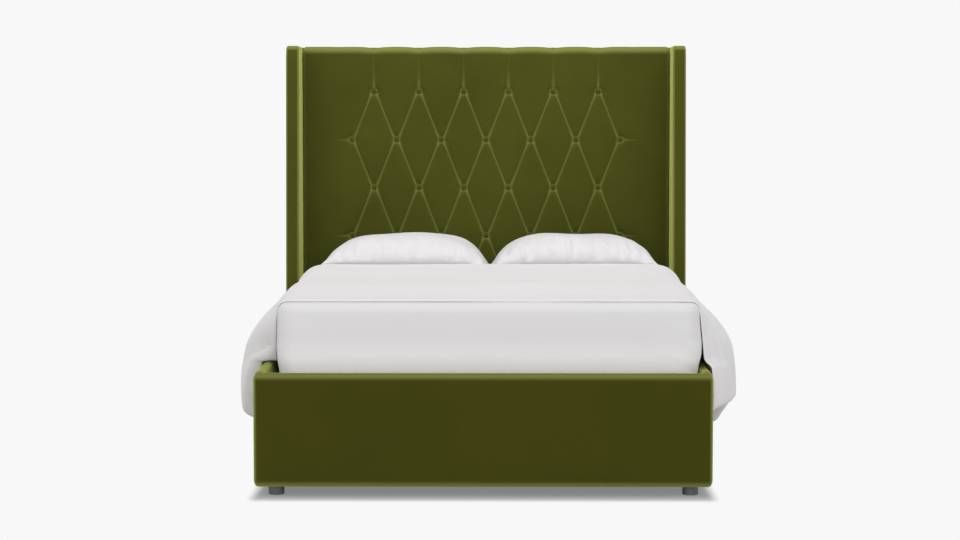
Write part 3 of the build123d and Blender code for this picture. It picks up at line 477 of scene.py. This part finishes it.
def swell(points, out, low, high, axis, crown, margin):
    """Moves the faces across an axis outwards by crown, faded to nothing over margin from their
    edges: crown * s(a) * s(b), where s rises smoothly from 0 at an edge to 1 a margin inside."""
    others = [i for i in range(3) if i != axis]
    fade = np.ones(len(points))
    for i in others:
        inside = np.minimum(points[:, i] - low[i], high[i] - points[:, i])
        fade *= smooth_step(inside, 0.0, min(margin, (high[i] - low[i]) / 2))
    points = points.copy()
    points[:, axis] += crown * fade * out[:, axis]
    return points


# Strength of the painted highlight over the wings' noses.
nose_painted_sheen = 0.80


def velvet_board(name, node, material, radius, crown, axis, shape=None, spacing=0.03,
                 margin=0.12, squeeze=1.0, nose=0.0):
    """Board in velvet in the box of a node: a block with rounded edges and swollen faces. Its
    edges are squeeze times sharper along X. A painted highlight lightens its arrises and the
    foremost part of the top, as deep as the nose that shape bends down there."""
    low, high = (np.array(corner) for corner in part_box(node))
    wide = np.array([squeeze, 1.0, 1.0])
    points, out, faces = block_shell(low * wide, high * wide, radius, spacing)
    points /= wide
    points = swell(points, out, low, high, axis, crown, margin)
    # Painted highlight: on the arrises and over the nose.
    on_nose = (points[:, 1] < low[1] + nose) & (out[:, 2] > 0.5)
    painted_sheen = np.maximum(arris_painted_sheen(out), nose_painted_sheen * on_nose)
    if shape is not None:
        points = shape(points, low, high)
    points, quads = weld(np.column_stack([points, painted_sheen]), faces)
    piece = put_mesh(name, points, quads)
    take_place(piece, node, material, "base")
    print(name, "from", low.round(3), "to", high.round(3), len(quads), "faces")
    return piece


velvet_board("footboard_in_velvet", "footboard", base_velvet, 0.026, 0.0015, 1, squeeze=1.7)
velvet_board("left_rail_in_velvet", "left_side_rail", base_velvet, 0.014, 0.0015, 0)
velvet_board("right_rail_in_velvet", "right_side_rail", base_velvet, 0.014, 0.0015, 0)
velvet_board("lower_panel_in_velvet", "headboard_lower_panel", base_velvet, 0.006, 0.0, 1)

# %% Wings
wing_lead_foot = 0.236
wing_lead_top = 0.140
wing_nose = 0.040
wing_crown = 0.0035
pad_box = [np.array(corner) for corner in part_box("tufted_pad")]
pad_face = pad_box[0][1]
pad_top = pad_box[1][2]


def lean_wing(points, low, high):
    """Leans a wing's front: at a height share h the front lies foot + (top - foot) * h ahead of
    the pad, and the points behind it move in proportion. The upper front corner is a nose."""
    points = points.copy()
    nose_y, nose_z = low[1] + wing_nose, high[2] - wing_nose
    past = np.stack([nose_y - points[:, 1], points[:, 2] - nose_z], axis=1)
    corner = (past > 0).all(axis=1)
    share = past[corner].max(axis=1) / np.linalg.norm(past[corner], axis=1)
    points[corner, 1] = nose_y - past[corner, 0] * share
    points[corner, 2] = nose_z + past[corner, 1] * share
    height_share = (points[:, 2] - low[2]) / (high[2] - low[2])
    front = pad_face - wing_lead_foot + (wing_lead_foot - wing_lead_top) * height_share
    depth_share = (high[1] - points[:, 1]) / (high[1] - low[1])
    points[:, 1] = high[1] - depth_share * (high[1] - front)
    points[:, 2] += wing_crown * smooth_step(points[:, 2], high[2] - 0.03, high[2])
    return points


for side in ("left", "right"):
    velvet_board(f"{side}_wing_in_velvet", f"{side}_wing", head_velvet_painted_lighter, 0.009, 0.0015, 0,
                 lean_wing, margin=0.08, nose=wing_nose)

# %% [markdown]
# ## The tufted pad
# Deep buttoning pulls the cover to the board at staggered points. The cloth between two buttons
# has too much length, and tucks itself into a straight fold. So the face is a height field: flat
# cushions, a narrow fold along each line between neighbouring buttons, a pleat from the top row to
# the upper edge, a fading pleat beside the end buttons and a dimple round each button.

# %% Places of the buttons and folds
tuft_pitch = 0.196
tuft_step = 0.210
tuft_top = 1.430
tuft_rows = 5
button_radius = 0.0115
fold_width = 0.0045
fold_depth = 0.0060
painted_sheen_width = 0.0042
fold_aside = 0.0115
fold_away = 0.0100
fold_middle = 0.72
fold_end_gain = 0.28
bottom_pleat = 0.6
side_pleat_strength = 0.9
cushion_width = 0.030
cushion_rise = 0.0060
dimple_radius = 0.0165
dimple_depth = 0.018
side_pleat = 0.098
# Strength of the painted highlight along the folds and round the buttons.
painted_sheen_on_folds = 0.90
painted_sheen_on_rings = 0.95
ring_share = 1.12
ring_width = 0.0038

buttons = [(tuft_pitch * (i - (count - 1) / 2), tuft_top - tuft_step * row, row)
           for row in range(tuft_rows) for count in [6 if row % 2 == 0 else 7]
           for i in range(count)]
folds = [((x + math.copysign(fold_aside, x2 - x), z - fold_away),
          (x2 - math.copysign(fold_aside, x2 - x), z2 + fold_away))
         for x, z, row in buttons for x2, z2, row2 in buttons
         if row2 == row + 1 and abs(abs(x2 - x) - tuft_pitch / 2) < tuft_pitch / 4]
short_row = sum(row == 0 for _, _, row in buttons)
widest = max(x for x, _, _ in buttons)
print(len(buttons), "buttons,", len(folds), "folds")


def along_line(x, z, start, end):
    """Distance of each point from a line piece, and its share of the way along it."""
    run = np.subtract(end, start)
    share = ((x - start[0]) * run[0] + (z - start[1]) * run[1]) / (run @ run)
    share = np.clip(share, 0, 1)
    return np.hypot(x - start[0] - share * run[0], z - start[1] - share * run[1]), share


# %% Height of the tufted face
def tufted_depth(x, z):
    """How far the face lies behind its flat, and its painted highlight. The depth is that of the
    deepest fold, each depth * exp(-(d / width)^2) + rise * exp(-d / cushion), and a dimple at each
    button. The painted highlight runs along each fold and round each button, by a bell of the same
    kind."""
    sharp, soft, painted_sheen = np.zeros(x.shape), np.zeros(x.shape), np.zeros(x.shape)

    def add_fold(distance, strength, cushion, shine=1.0, spread=1.0):
        """Deepens the face along one fold of a strength from 0 to 1."""
        np.maximum(sharp, fold_depth * strength * np.exp(-(distance / fold_width) ** 2), out=sharp)
        np.maximum(soft, cushion_rise * cushion * np.exp(-distance / cushion_width), out=soft)
        # Painted highlight along the fold.
        bell = np.exp(-(distance / (painted_sheen_width * spread)) ** 2)
        np.maximum(painted_sheen, painted_sheen_on_folds * strength * shine * bell, out=painted_sheen)

    for start, end in folds:
        distance, share = along_line(x, z, start, end)
        end_share = (2 * share - 1) ** 2
        add_fold(distance, fold_middle + fold_end_gain * end_share, 1.0,
                 spread=0.85 + 0.55 * end_share ** 2)
    for bx, bz, row in buttons:
        if row == 0:
            distance, share = along_line(x, z, (bx, bz), (bx, pad_top + 0.01))
            add_fold(distance, 0.15 + 0.8 * (1 - share) ** 1.2, 1.0,
                     shine=(1 - share) ** 0.9, spread=0.55 + 1.3 * (1 - share) ** 3)
        if row == tuft_rows - 1:
            distance, share = along_line(x, z, (bx, bz), (bx, pad_box[0][2]))
            add_fold(distance, bottom_pleat, 1.0)
        if abs(bx) > widest - tuft_pitch / 4:
            end = (bx + math.copysign(side_pleat, bx), bz)
            distance, share = along_line(x, z, (bx, bz), end)
            add_fold(distance, side_pleat_strength * (1 - share) ** 1.5, (1 - share) ** 1.5,
                     spread=0.5 + 1.4 * (1 - share) ** 4)
        reach = np.hypot(x - bx, z - bz)
        np.maximum(sharp, dimple_depth * np.exp(-(reach / dimple_radius) ** 2), out=sharp)
        # Painted highlight in a ring round the button.
        ring = np.exp(-((reach - ring_share * button_radius) / ring_width) ** 2)
        np.maximum(painted_sheen, painted_sheen_on_rings * ring, out=painted_sheen)
    return sharp + soft, painted_sheen


def scallop(x):
    """Shape of the upper edge from 1 at each pleat of the top row to 0 halfway between two:
    (1 - |sin(pi t)|)^1.4 of the share t of a pitch, and nothing beyond the last pleats."""
    t = x / tuft_pitch + (0.5 if short_row % 2 == 0 else 0.0)
    inside = smooth_step((short_row + 1) / 2 * tuft_pitch - np.abs(x), 0.0, tuft_pitch / 2)
    return (1 - np.abs(np.sin(math.pi * t))) ** 1.4 * inside


# %% Tufted pad
pad_edge = 0.031
pad_squeeze = 1.6
scallop_rise = 0.0035
scallop_drop = 0.0070
scallop_set_back = 0.005
scallop_height = 0.05
pad_spacing = 0.0034
low, high = pad_box
wide = np.array([pad_squeeze, 1.0, 1.0])
spacing = (pad_spacing * pad_squeeze, 0.012, pad_spacing)
points, out, faces = block_shell(low * wide, high * wide, pad_edge, spacing, open_faces=("+y",))
points /= wide
facing = np.clip(-out[:, 1], 0, 1)
depth, tuft_painted_sheen = tufted_depth(points[:, 0], points[:, 2])
points[:, 1] += facing * depth
# Painted highlight on the arrises, along the folds and round the buttons.
painted_sheen = np.maximum(arris_painted_sheen(out) ** 0.6, tuft_painted_sheen * facing ** 2)
upper = smooth_step(points[:, 2], high[2] - scallop_height, high[2])
points[:, 1] += scallop_set_back * scallop(points[:, 0]) * upper * facing
points[:, 2] += (scallop_rise - scallop_drop * scallop(points[:, 0])) * upper
points, quads = weld(np.column_stack([points, painted_sheen]), faces)
rim = np.flatnonzero(points[:, 1] > high[1] - 1e-6)
around = np.arctan2(points[rim, 2] - (low[2] + high[2]) / 2, points[rim, 0])
quads.append(rim[np.argsort(-around)].tolist())
tufted = put_mesh("tufted_pad_in_velvet", points, quads)
take_place(tufted, "tufted_pad", head_velvet_painted_lighter, "base")
print("tufted pad:", len(quads), "faces")

# %% Covered buttons
button_rise = 0.0075
button_seat = 0.0145
button_rim_painted_sheen = 0.5
rings, spokes = 9, 28


def button_surface(bx, bz, floor):
    """A covered button: radius r * sin(a) and rise h * cos(a) as a goes from the crown over the
    rim to the underside, with a slightly flattened crown."""
    angle = np.linspace(0.0, 0.82 * math.pi, rings)[:, None]
    turn = np.linspace(0, 2 * math.pi, spokes, endpoint=False)[None, :]
    spread = button_radius * np.sin(angle) ** 0.85
    lift = button_rise * np.cos(angle)
    x = bx + spread * np.cos(turn)
    z = bz + spread * np.sin(turn)
    y = floor - lift + 0 * turn
    # Painted highlight round the button's rim.
    painted_sheen = button_rim_painted_sheen * (angle > math.pi / 3) * (angle < 0.6 * math.pi) + 0 * turn
    return np.stack([x, y, z, painted_sheen], axis=-1)


button_points, button_faces = [], []
for bx, bz, _ in buttons:
    grid = button_surface(bx, bz, pad_face + button_seat)
    button_faces.append(grid_faces(rings, spokes, wrap_columns=True,
                                   start=len(button_points) * rings * spokes))
    button_points.append(grid.reshape(-1, 4))
points, quads = weld(np.concatenate(button_points), np.concatenate(button_faces))
tufts = put_mesh("velvet_buttons", points, quads)
take_place(tufts, "tufting_buttons", head_velvet_painted_lighter, "base")
print("buttons:", len(buttons), "with", len(quads), "faces")

# %% [markdown]
# ## Mattress and fitted sheet
# The mattress is a deep block with rounded edges. Its fitted sheet is cut to cover the top and the
# four sides and is held tight by its corners, so it is the same shell a little larger, open
# below, with the faint pull lines that run down from the corners.

# %% Mattress
mattress_low, mattress_high = (np.array(corner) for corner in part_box("fitted_sheet"))
mattress_top = mattress_high[2]
sheet_radius = 0.034
sheet_corner = 0.070
skin = 0.0022
drawn_in = 0.009
drawn_height = 0.11
swell_right = 0.0075
swell_left = -0.002


def mattress_shell(inset, spacing, open_faces=()):
    """The mattress's shell, set in by inset. Its sides are drawn in by up to 9 mm over the lowest
    110 mm. Above, its foot half swells a little on the side that leans on the bedding. The head
    half stays straight, because it swings down between the rails when the platform lifts."""
    low, high = mattress_low + inset, mattress_high - inset
    low[2] = mattress_low[2]
    points, out, faces = block_shell(low, high, sheet_radius - inset, spacing, open_faces,
                                     sheet_corner - sheet_radius)
    middle, half = (low + high)[:2] / 2, (high - low)[:2] / 2
    offset = points[:, :2] - middle
    share = np.abs(offset) / half
    height = points[:, 2] - mattress_low[2]
    drawn = drawn_in * (1 - smooth_step(height, 0.0, drawn_height))
    swollen = smooth_step(height, 0.05, 0.13) * (1 - smooth_step(height, 0.13, 0.245))
    points[:, :2] -= np.sign(offset) * drawn[:, None] * share ** 4
    swollen *= share[:, 0] ** 6 * (1 - smooth_step(points[:, 1], -0.5, 0.0))
    points[:, 0] += swollen * np.where(offset[:, 0] > 0, swell_right, swell_left)
    return points, out, faces


points, out, faces = mattress_shell(2 * skin, 0.03)
points, quads = weld(points, faces)
mattress = put_mesh("mattress_block", points, quads)
take_place(mattress, "mattress", ticking, "platform")

# %% Fitted sheet
sheet_ripple = 0.0009
corner_pull = 0.0018
corner_reach = 0.10
ripple_depth = 0.20
sheet_cloth = 0.0012
points, out, faces = mattress_shell(0.0, 0.012, open_faces=("-z",))
top_share = smooth_step(points[:, 2], mattress_top - ripple_depth, mattress_top)
pull = waves(points[:, 0], points[:, 1], 11, 7, 0.35, 0.9)
points += out * (sheet_ripple * pull * top_share)[:, None]
corner_near = [np.hypot(points[:, 0] - x, points[:, 1] - y)
               for x in (mattress_low[0], mattress_high[0])
               for y in (mattress_low[1], mattress_high[1])]
near = np.exp(-np.min(corner_near, axis=0) / corner_reach)
gather = 1 + waves(points[:, 2], points[:, 0] + points[:, 1], 5, 5, 0.03, 0.09)
points -= out * (corner_pull * near * gather)[:, None]
points, quads = weld(points, faces)
sheet = put_mesh("fitted_sheet_cloth", points, quads)
wall = sheet.modifiers.new("cloth", "SOLIDIFY")
wall.thickness = sheet_cloth
wall.offset = -1.0
take_place(sheet, "fitted_sheet", sheet_cotton, "platform")

# %% [markdown]
# ## The duvet
# The duvet is one filled quilt. It lies on the mattress from the pillows to just short of the foot
# end and falls over both rails, fuller than the mattress below it. Two surfaces make it, an outer
# and an inner one, and they close on each other round the whole edge like the lips of a cushion.
# On the left its foot edge climbs back as it falls; on the right the corner hangs down in a point.

# %% Duvet stations
# Shares of the way from the head to the foot, with the hem's height and the fullness of the drop
# there. The cloth hugs the mattress at the foot and flares away from it further back.
duvet_head = float(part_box("duvet")[1][1])
duvet_foot = float(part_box("duvet")[0][1])
duvet_run = duvet_head - duvet_foot
across_count = 220
along_count = 190
shares = np.array((0.0, 0.10, 0.20, 0.30, 0.40, 0.50, 0.60, 0.68, 0.76, 0.84, 0.90, 0.95, 1.0))
left_hem = np.array((0.275, 0.245, 0.232, 0.222, 0.226, 0.214, 0.200, 0.194, 0.212, 0.300, 0.385,
                     0.436, 0.446))
right_hem = np.array((0.270, 0.238, 0.214, 0.205, 0.185, 0.160, 0.168, 0.262, 0.276, 0.280, 0.283,
                      0.286, 0.287))
left_flare = np.array((0.075, 0.084, 0.078, 0.085, 0.080, 0.085, 0.088, 0.089, 0.085, 0.074,
                       0.058, 0.036, 0.010))
right_flare = np.array((0.078, 0.084, 0.078, 0.084, 0.078, 0.078, 0.086, 0.119, 0.112, 0.096,
                        0.076, 0.050, 0.012))
rail_clearance = 0.0125
rail_apex = float(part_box("right_side_rail")[1][0]) + rail_clearance
rail_apex_height = 0.330
rail_top = float(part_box("right_side_rail")[1][2])
shoulder_height = mattress_top - sheet_radius
sheet_gap = 0.0008
inner_top = mattress_top + sheet_gap
hem_lip = 0.030
foot_lip = 0.012
seam_share = 0.32
foot_thick = 0.008
thick_gain = 0.034
thick_reach = 0.34
slant = 0.17
slant_drop = 0.22
slant_reach = 0.30
edge_pinch = 0.42
edge_pinch_width = 0.036
looser_near_pillows = 0.30
tighter_before_pillows = 0.18
flare_reach_left = 0.150
flare_reach_right = 0.175
top_puff = 0.0030
drop_puff = 0.005
least_thick = 0.006


def eased(values, where):
    """Values at the stations, joined by a blend of straight runs and smooth steps."""
    index = np.clip(np.searchsorted(shares, where, side="right") - 1, 0, len(shares) - 2)
    t = (where - shares[index]) / (shares[index + 1] - shares[index])
    t = 0.5 * t + 0.5 * t * t * (3 - 2 * t)
    return values[index] + t * (values[index + 1] - values[index])


def lip_lines(length, lip, count):
    """Distances from 0 to each length and their fullness: even steps inside, then steps of equal
    angle over the lip, where the fullness is the sine of an angle that falls to nothing."""
    turn = np.linspace(math.pi / 2, 0, 7)[1:]
    length = np.atleast_1d(length)[:, None]
    distance = np.concatenate([np.linspace(0, 1, count) * (length - lip),
                               length - lip * (1 - np.cos(turn))], axis=1)
    return distance, np.concatenate([np.ones(count), np.sin(turn)])


half_lines, half_full = lip_lines(duvet_run / 2, foot_lip, along_count // 2)
along = np.concatenate([-half_lines[0, :0:-1], half_lines[0]]) / duvet_run + 0.5
along_full = np.concatenate([half_full[:0:-1], half_full])
print("duvet from", round(duvet_head, 3), "to", round(duvet_foot, 3), "in", len(along), "rows")


# %% Duvet sections
left_free = (0.03, 0.20)
right_free = (0.0, 0.22)
left_over_rail = 0.075
right_over_rail = 0.034
over_rail_gap = 0.004
left_foot_fade = 0.05
tight_lean = 0.020


def inner_side(left_side, hang, from_foot, edge):
    """Distance of the inner side from the middle at a height: an arc from the mattress's shoulder
    to its apex beyond the rail. At the foot end it is tight, close to the mattress, and the arc
    comes free along the bed, and near the rail's top at once, to clear it."""
    sag, rise = rail_apex - edge, shoulder_height - rail_apex_height
    radius = (sag ** 2 + rise ** 2) / (2 * sag)
    arc = rail_apex - radius + np.sqrt(radius ** 2 - (hang - rail_apex_height) ** 2)
    over = left_over_rail if left_side else right_over_rail
    over_rail = smooth_step(rail_top + over - hang, 0.0, over - over_rail_gap)
    if left_side:
        over_rail = over_rail * np.clip(from_foot / left_foot_fade, 0, 1)
    free = np.maximum(smooth_step(from_foot, *(left_free if left_side else right_free)), over_rail)
    tight = edge + tight_lean * (shoulder_height - hang) / (shoulder_height - rail_top)
    return tight + (np.maximum(arc, tight) - tight) * free


def half_duvet(sign, count):
    """Outer and inner points of one half, from the middle of the bed to the hem. A point at the
    distance w from the middle lies on the mattress's top, round its edge or down the inner side.
    The faces lie T * (s + (1 - s) * f) and T * s * (1 - f) away from it, where T is the cloth's
    fullness there, s the share at which the seam sits and f falls from 1 to 0 at every edge.
    T is pinched along the mattress's edge and grows to the flare over the first part of the drop.
    On the left the foot edge slants back, by slant over the height slant_drop."""
    left_side = sign < 0
    hem, flare = (eased(values, along) for values in
                  ((left_hem, left_flare) if left_side else (right_hem, right_flare)))
    edge = abs(mattress_low[0]) if left_side else abs(mattress_high[0])
    flat, corner = edge - sheet_radius, sheet_radius * math.pi / 2
    w, full = lip_lines(flat + corner + shoulder_height - hem, hem_lip, count)
    turn = np.clip((w - flat) / sheet_radius, 0, math.pi / 2)
    drop = np.maximum(w - flat - corner, 0)
    hang = shoulder_height - drop
    from_foot = ((1 - along) * duvet_run)[:, None]
    x = np.where(drop > 0, inner_side(left_side, hang, from_foot, edge),
                 np.minimum(w, flat) + sheet_radius * np.sin(turn))
    z = np.where(drop > 0, hang, inner_top - sheet_radius * (1 - np.cos(turn)))
    top_thick = foot_thick + thick_gain * smooth_step(from_foot, 0.0, thick_reach)
    middle = flat + corner / 2
    pinch = (edge_pinch + looser_near_pillows * smooth_step(from_foot, 1.08, 1.25)
             - tighter_before_pillows * np.exp(-((from_foot - 0.98) / 0.09) ** 2))
    squeezed = 1 - (1 - pinch) * np.exp(-((w - middle) / edge_pinch_width) ** 2)
    rise = np.clip(drop / (flare_reach_left if left_side else flare_reach_right), 0, 1)
    rise = 0.5 * (rise + np.sin(math.pi / 2 * rise)) if left_side else np.sin(math.pi / 2 * rise)
    thick = top_thick * squeezed
    thick = thick + (flare[:, None] - thick) * rise
    lean = math.pi / 2 * smooth_step(w, flat - 0.05, flat + corner + 0.03)
    y = duvet_head - along[:, None] * duvet_run + np.zeros(w.shape)
    fullness = full * along_full[:, None]
    fold = waves(y, 0.35 * z, 21 + sign, 6, 0.20, 0.55)
    soft = waves(sign * x, y, 31, 9, 0.25, 0.80)
    calm = smooth_step(from_foot, 0.05, 0.4)
    puff = calm * (top_puff * soft * (drop == 0)
                   + drop_puff * fold * smooth_step(drop, 0.05, 0.25))
    thick = np.maximum(thick + puff * fullness, least_thick)
    if left_side:
        foot_only = np.exp(-(from_foot / slant_reach) ** 2)
        y = y + slant * smooth_step(drop, 0.0, slant_drop) * foot_only
    seam = seam_share * smooth_step(from_foot, 0.0, 0.2)
    grids = []
    for away in (thick * (seam + (1 - seam) * fullness), thick * seam * (1 - fullness)):
        grids.append(np.stack([sign * (x + away * np.sin(lean)), y, z + away * np.cos(lean)],
                              axis=-1))
    return grids


# %% Duvet
left, right = half_duvet(-1, across_count // 2), half_duvet(1, across_count // 2)
outer, inner = (np.concatenate([a[:, :0:-1], b], axis=1) for a, b in zip(left, right))
rows, columns = outer.shape[:2]
outer_faces = grid_faces(rows, columns)
inner_faces = grid_faces(rows, columns, start=rows * columns)[:, ::-1]
points, quads = weld(np.concatenate([outer.reshape(-1, 3), inner.reshape(-1, 3)]),
                     np.concatenate([outer_faces, inner_faces]))
duvet = put_mesh("duvet_quilt", points, quads)
take_place(duvet, "duvet", duvet_cotton, "platform")
print("duvet:", len(quads), "faces, from", points.min(axis=0).round(3), "to",
      points.max(axis=0).round(3))

# %% [markdown]
# ## The pillows
# A pillow is two rectangles of cloth sewn together round a soft filling. It is fullest in the
# middle and its sides pull in between the corners, which stay as flat points.

# %% Pillows
pillow_count = 110
pillow_seam = 0.34
seam_sink_outside = 0.55
seam_sink_inside = 0.88
gather_depth = 0.0130
edge_gather_depth = 0.0040
filling_depth = 0.0045
front_rise = 0.004
front_fade = 0.30
edge_fade = 0.12
tuck_depth = 0.009
tuck_place = 0.72
tuck_width = 0.055


def pillow_grid(low, high, seed, outer):
    """Upper and lower face of a pillow over (u, v) from -1 to 1, its outer end at u = outer. The
    height is that of its ends, (1 - |u|^3.9)^1.1 outside and (1 - |u|^4)^0.9 inside, times
    (1 - |v|^3.6)^0.62. The seam sinks towards both ends, as |u|^5. Gathers run up from the front
    seam, and a tuck crosses the outer corner."""
    low, high = np.array(low), np.array(high)
    middle, half = (low + high) / 2, (high - low) / 2
    turn = np.sin(np.linspace(-math.pi / 2, math.pi / 2, pillow_count))
    steps = 0.55 * turn + 0.45 * np.linspace(-1, 1, pillow_count)
    u, v = np.meshgrid(steps, steps, indexing="ij")
    across = np.where(u * outer > 0, (1 - np.abs(u) ** 3.9) ** 1.1, (1 - np.abs(u) ** 4) ** 0.9)
    rise = across * (1 - np.abs(v) ** 3.6) ** 0.62
    x = middle[0] + half[0] * u * (1 - 0.030 * (1 - v ** 2))
    y = middle[1] + half[1] * v * (1 - 0.05 * (1 - u ** 2))
    sink = np.where(u * outer > 0, seam_sink_outside, seam_sink_inside) * np.abs(u) ** 5
    seam = low[2] + pillow_seam * (high[2] - low[2]) * (1 - sink)
    top = seam + (high[2] - seam) * rise
    front = np.exp(-(1 + v) / front_fade)
    edge = np.exp(-(1 - np.maximum(np.abs(u), np.abs(v))) / edge_fade)
    gather = waves(x, 0.25 * y, seed, 12, 0.022, 0.065)
    soft = waves(x, y, seed + 1, 6, 0.16, 0.45)
    away = (u * outer - tuck_place) * 0.70 + (-v - tuck_place) * 0.71
    tuck = np.exp(-(away / tuck_width) ** 2) * smooth_step(u * outer, 0.5, 0.7)
    tuck = tuck * smooth_step(-v, 0.4, 0.7)
    shape = (gather_depth * gather * front + edge_gather_depth * gather * edge
             + filling_depth * soft - tuck_depth * tuck + front_rise * front)
    top = top + shape * np.clip(rise * 3, 0, 1) ** 0.5
    bottom = seam - (seam - low[2]) * np.minimum(rise * 1.6, 1.0)
    return np.stack([x, y, np.maximum(top, bottom)], axis=-1), np.stack([x, y, bottom], axis=-1)


for number, side in enumerate(("left", "right")):
    top, bottom = pillow_grid(*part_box(f"{side}_pillow"), 41 + 7 * number, 2 * number - 1)
    rows, columns = top.shape[:2]
    under = grid_faces(rows, columns, start=rows * columns)[:, ::-1]
    points, quads = weld(np.concatenate([top.reshape(-1, 3), bottom.reshape(-1, 3)]),
                         np.concatenate([grid_faces(rows, columns), under]))
    pillow = put_mesh(f"{side}_pillow_in_case", points, quads)
    take_place(pillow, f"{side}_pillow", pillow_cotton_painted_shade, "platform")
    print(side, "pillow", len(quads), "faces")

# %% [markdown]
# ## Lining and pull strap
# The headboard's back is closed with a thin black lining, and a woven strap hangs from the
# platform's end tube to lift it by.

# %% Lining and strap
low, high = (np.array(corner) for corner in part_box("headboard_lining"))
points, out, faces = block_shell(low, high, 0.0007, 0.05)
points, quads = weld(points, faces)
lining = put_mesh("headboard_lining_cloth", points, quads)
take_place(lining, "headboard_lining", lining_cloth, "base")
dress(webbing, "pull_strap")

# %% [markdown]
# ## Floor and light
# The floor is pale. The camera sees it as the same near-white as the backdrop, except below the
# bed and for a hand's breadth round it, where it is painted shade: a duller grey with a faint
# glow, which also takes the bed's real shadow.
# The light is mostly even, as in a photo studio: two very wide lamps, one from high up and one
# from the front, and a weak soft one above the pillows.

# %% Floor
stage_white = 0.939
world_strength = 0.42
floor_half = 30
shadow_grey = 0.33
shadow_lift = 0.215
shadow_core = (0.78, 1.10, 0.0)
shadow_reach = 0.10
corners = [(-floor_half, -floor_half, 0), (floor_half, -floor_half, 0),
           (floor_half, floor_half, 0), (-floor_half, floor_half, 0)]
floor = put_mesh("studio_floor", np.array(corners), [(0, 1, 2, 3)], smooth=False)
floor_paint, tree, shader = finish("studio_floor_paint", (0.80, 0.80, 0.80), 0.9,
                                   Specular_IOR_Level=0.0)
# Painted shade: near the bed the camera sees a darker grey paint with a faint glow, fading to
# plain white over shadow_reach.
painted_shade_near = add_node(tree, "BsdfDiffuse", Color=(*3 * [shadow_grey], 1.0))
far_white = add_node(tree, "Emission", Color=(*3 * [stage_white], 1.0))

# Distance from the box below the bed, doubled along X: the painted shade reaches half as far
# there.
aside = add_node(tree, "TexCoord").outputs["Object"]
for operation, other in (("ABSOLUTE", None), ("SUBTRACT", shadow_core),
                         ("MAXIMUM", (0.0, 0.0, 0.0)), ("MULTIPLY", (2.0, 1.0, 0.0)),
                         ("LENGTH", None)):
    distance = add_node(tree, "VectorMath")
    distance.operation = operation
    tree.links.new(aside, distance.inputs[0])
    if other is not None:
        distance.inputs[1].default_value = other
    aside = distance.outputs["Value" if operation == "LENGTH" else "Vector"]
fade = add_node(tree, "MapRange", From_Min=0.0, From_Max=shadow_reach)
fade.interpolation_type = "SMOOTHSTEP"
tree.links.new(aside, fade.inputs["Value"])
near_far = add_node(tree, "MixShader")
tree.links.new(fade.outputs["Result"], near_far.inputs["Fac"])
painted_shade_glow = add_node(tree, "Emission", Color=(*3 * [shadow_lift], 1.0))
painted_shade_mix = add_node(tree, "AddShader")
tree.links.new(painted_shade_near.outputs["BSDF"], painted_shade_mix.inputs[0])
tree.links.new(painted_shade_glow.outputs["Emission"], painted_shade_mix.inputs[1])
tree.links.new(painted_shade_mix.outputs["Shader"], near_far.inputs[1])
tree.links.new(far_white.outputs["Emission"], near_far.inputs[2])
path = add_node(tree, "LightPath")
shown = add_node(tree, "MixShader")
tree.links.new(path.outputs["Is Camera Ray"], shown.inputs["Fac"])
tree.links.new(shader.outputs["BSDF"], shown.inputs[1])
tree.links.new(near_far.outputs["Shader"], shown.inputs[2])
tree.links.new(shown.outputs["Shader"], tree.nodes["Material Output"].inputs["Surface"])
floor.data.materials.append(floor_paint)

# %% World and lamps
world = bpy.data.worlds.new("studio_world")
bpy.context.scene.world = world
world.use_nodes = True
tree = world.node_tree
light = tree.nodes["Background"]
light.inputs["Color"].default_value = (1.0, 1.0, 1.0, 1.0)
light.inputs["Strength"].default_value = world_strength
seen = add_node(tree, "Background", Color=(*3 * [stage_white], 1.0))
path = add_node(tree, "LightPath")
shown = add_node(tree, "Math")
shown.operation = "MAXIMUM"
tree.links.new(path.outputs["Is Camera Ray"], shown.inputs[0])
tree.links.new(path.outputs["Is Glossy Ray"], shown.inputs[1])
mix = add_node(tree, "MixShader")
tree.links.new(shown.outputs["Value"], mix.inputs["Fac"])
tree.links.new(light.outputs["Background"], mix.inputs[1])
tree.links.new(seen.outputs["Background"], mix.inputs[2])
tree.links.new(mix.outputs["Shader"], tree.nodes["World Output"].inputs["Surface"])


def hang_lamp(name, kind, power, place, tilt, **settings):
    """Lamp at a place, tilted from straight down about X, in degrees."""
    data = bpy.data.lights.new(name, kind)
    data.energy = power
    for setting, value in settings.items():
        setattr(data, setting, value)
    lamp = bpy.data.objects.new(name, data)
    lamp.location = place
    lamp.rotation_euler = (math.radians(tilt), 0.0, 0.0)
    lamp.visible_camera = False
    bpy.context.scene.collection.objects.link(lamp)


wide_angle = math.radians(100)
hang_lamp("high_sun", "SUN", 1.35, (0, -3, 4), 35, angle=wide_angle)
hang_lamp("front_sun", "SUN", 0.62, (0, -5, 2), 80, angle=wide_angle)
hang_lamp("top_lamp", "AREA", 9.0, (0, 0.42, 2.60), 0, shape="RECTANGLE", size=2.4, size_y=1.2)
bpy.context.scene.view_settings.view_transform = "Standard"
print("floor, world and lamps ready")
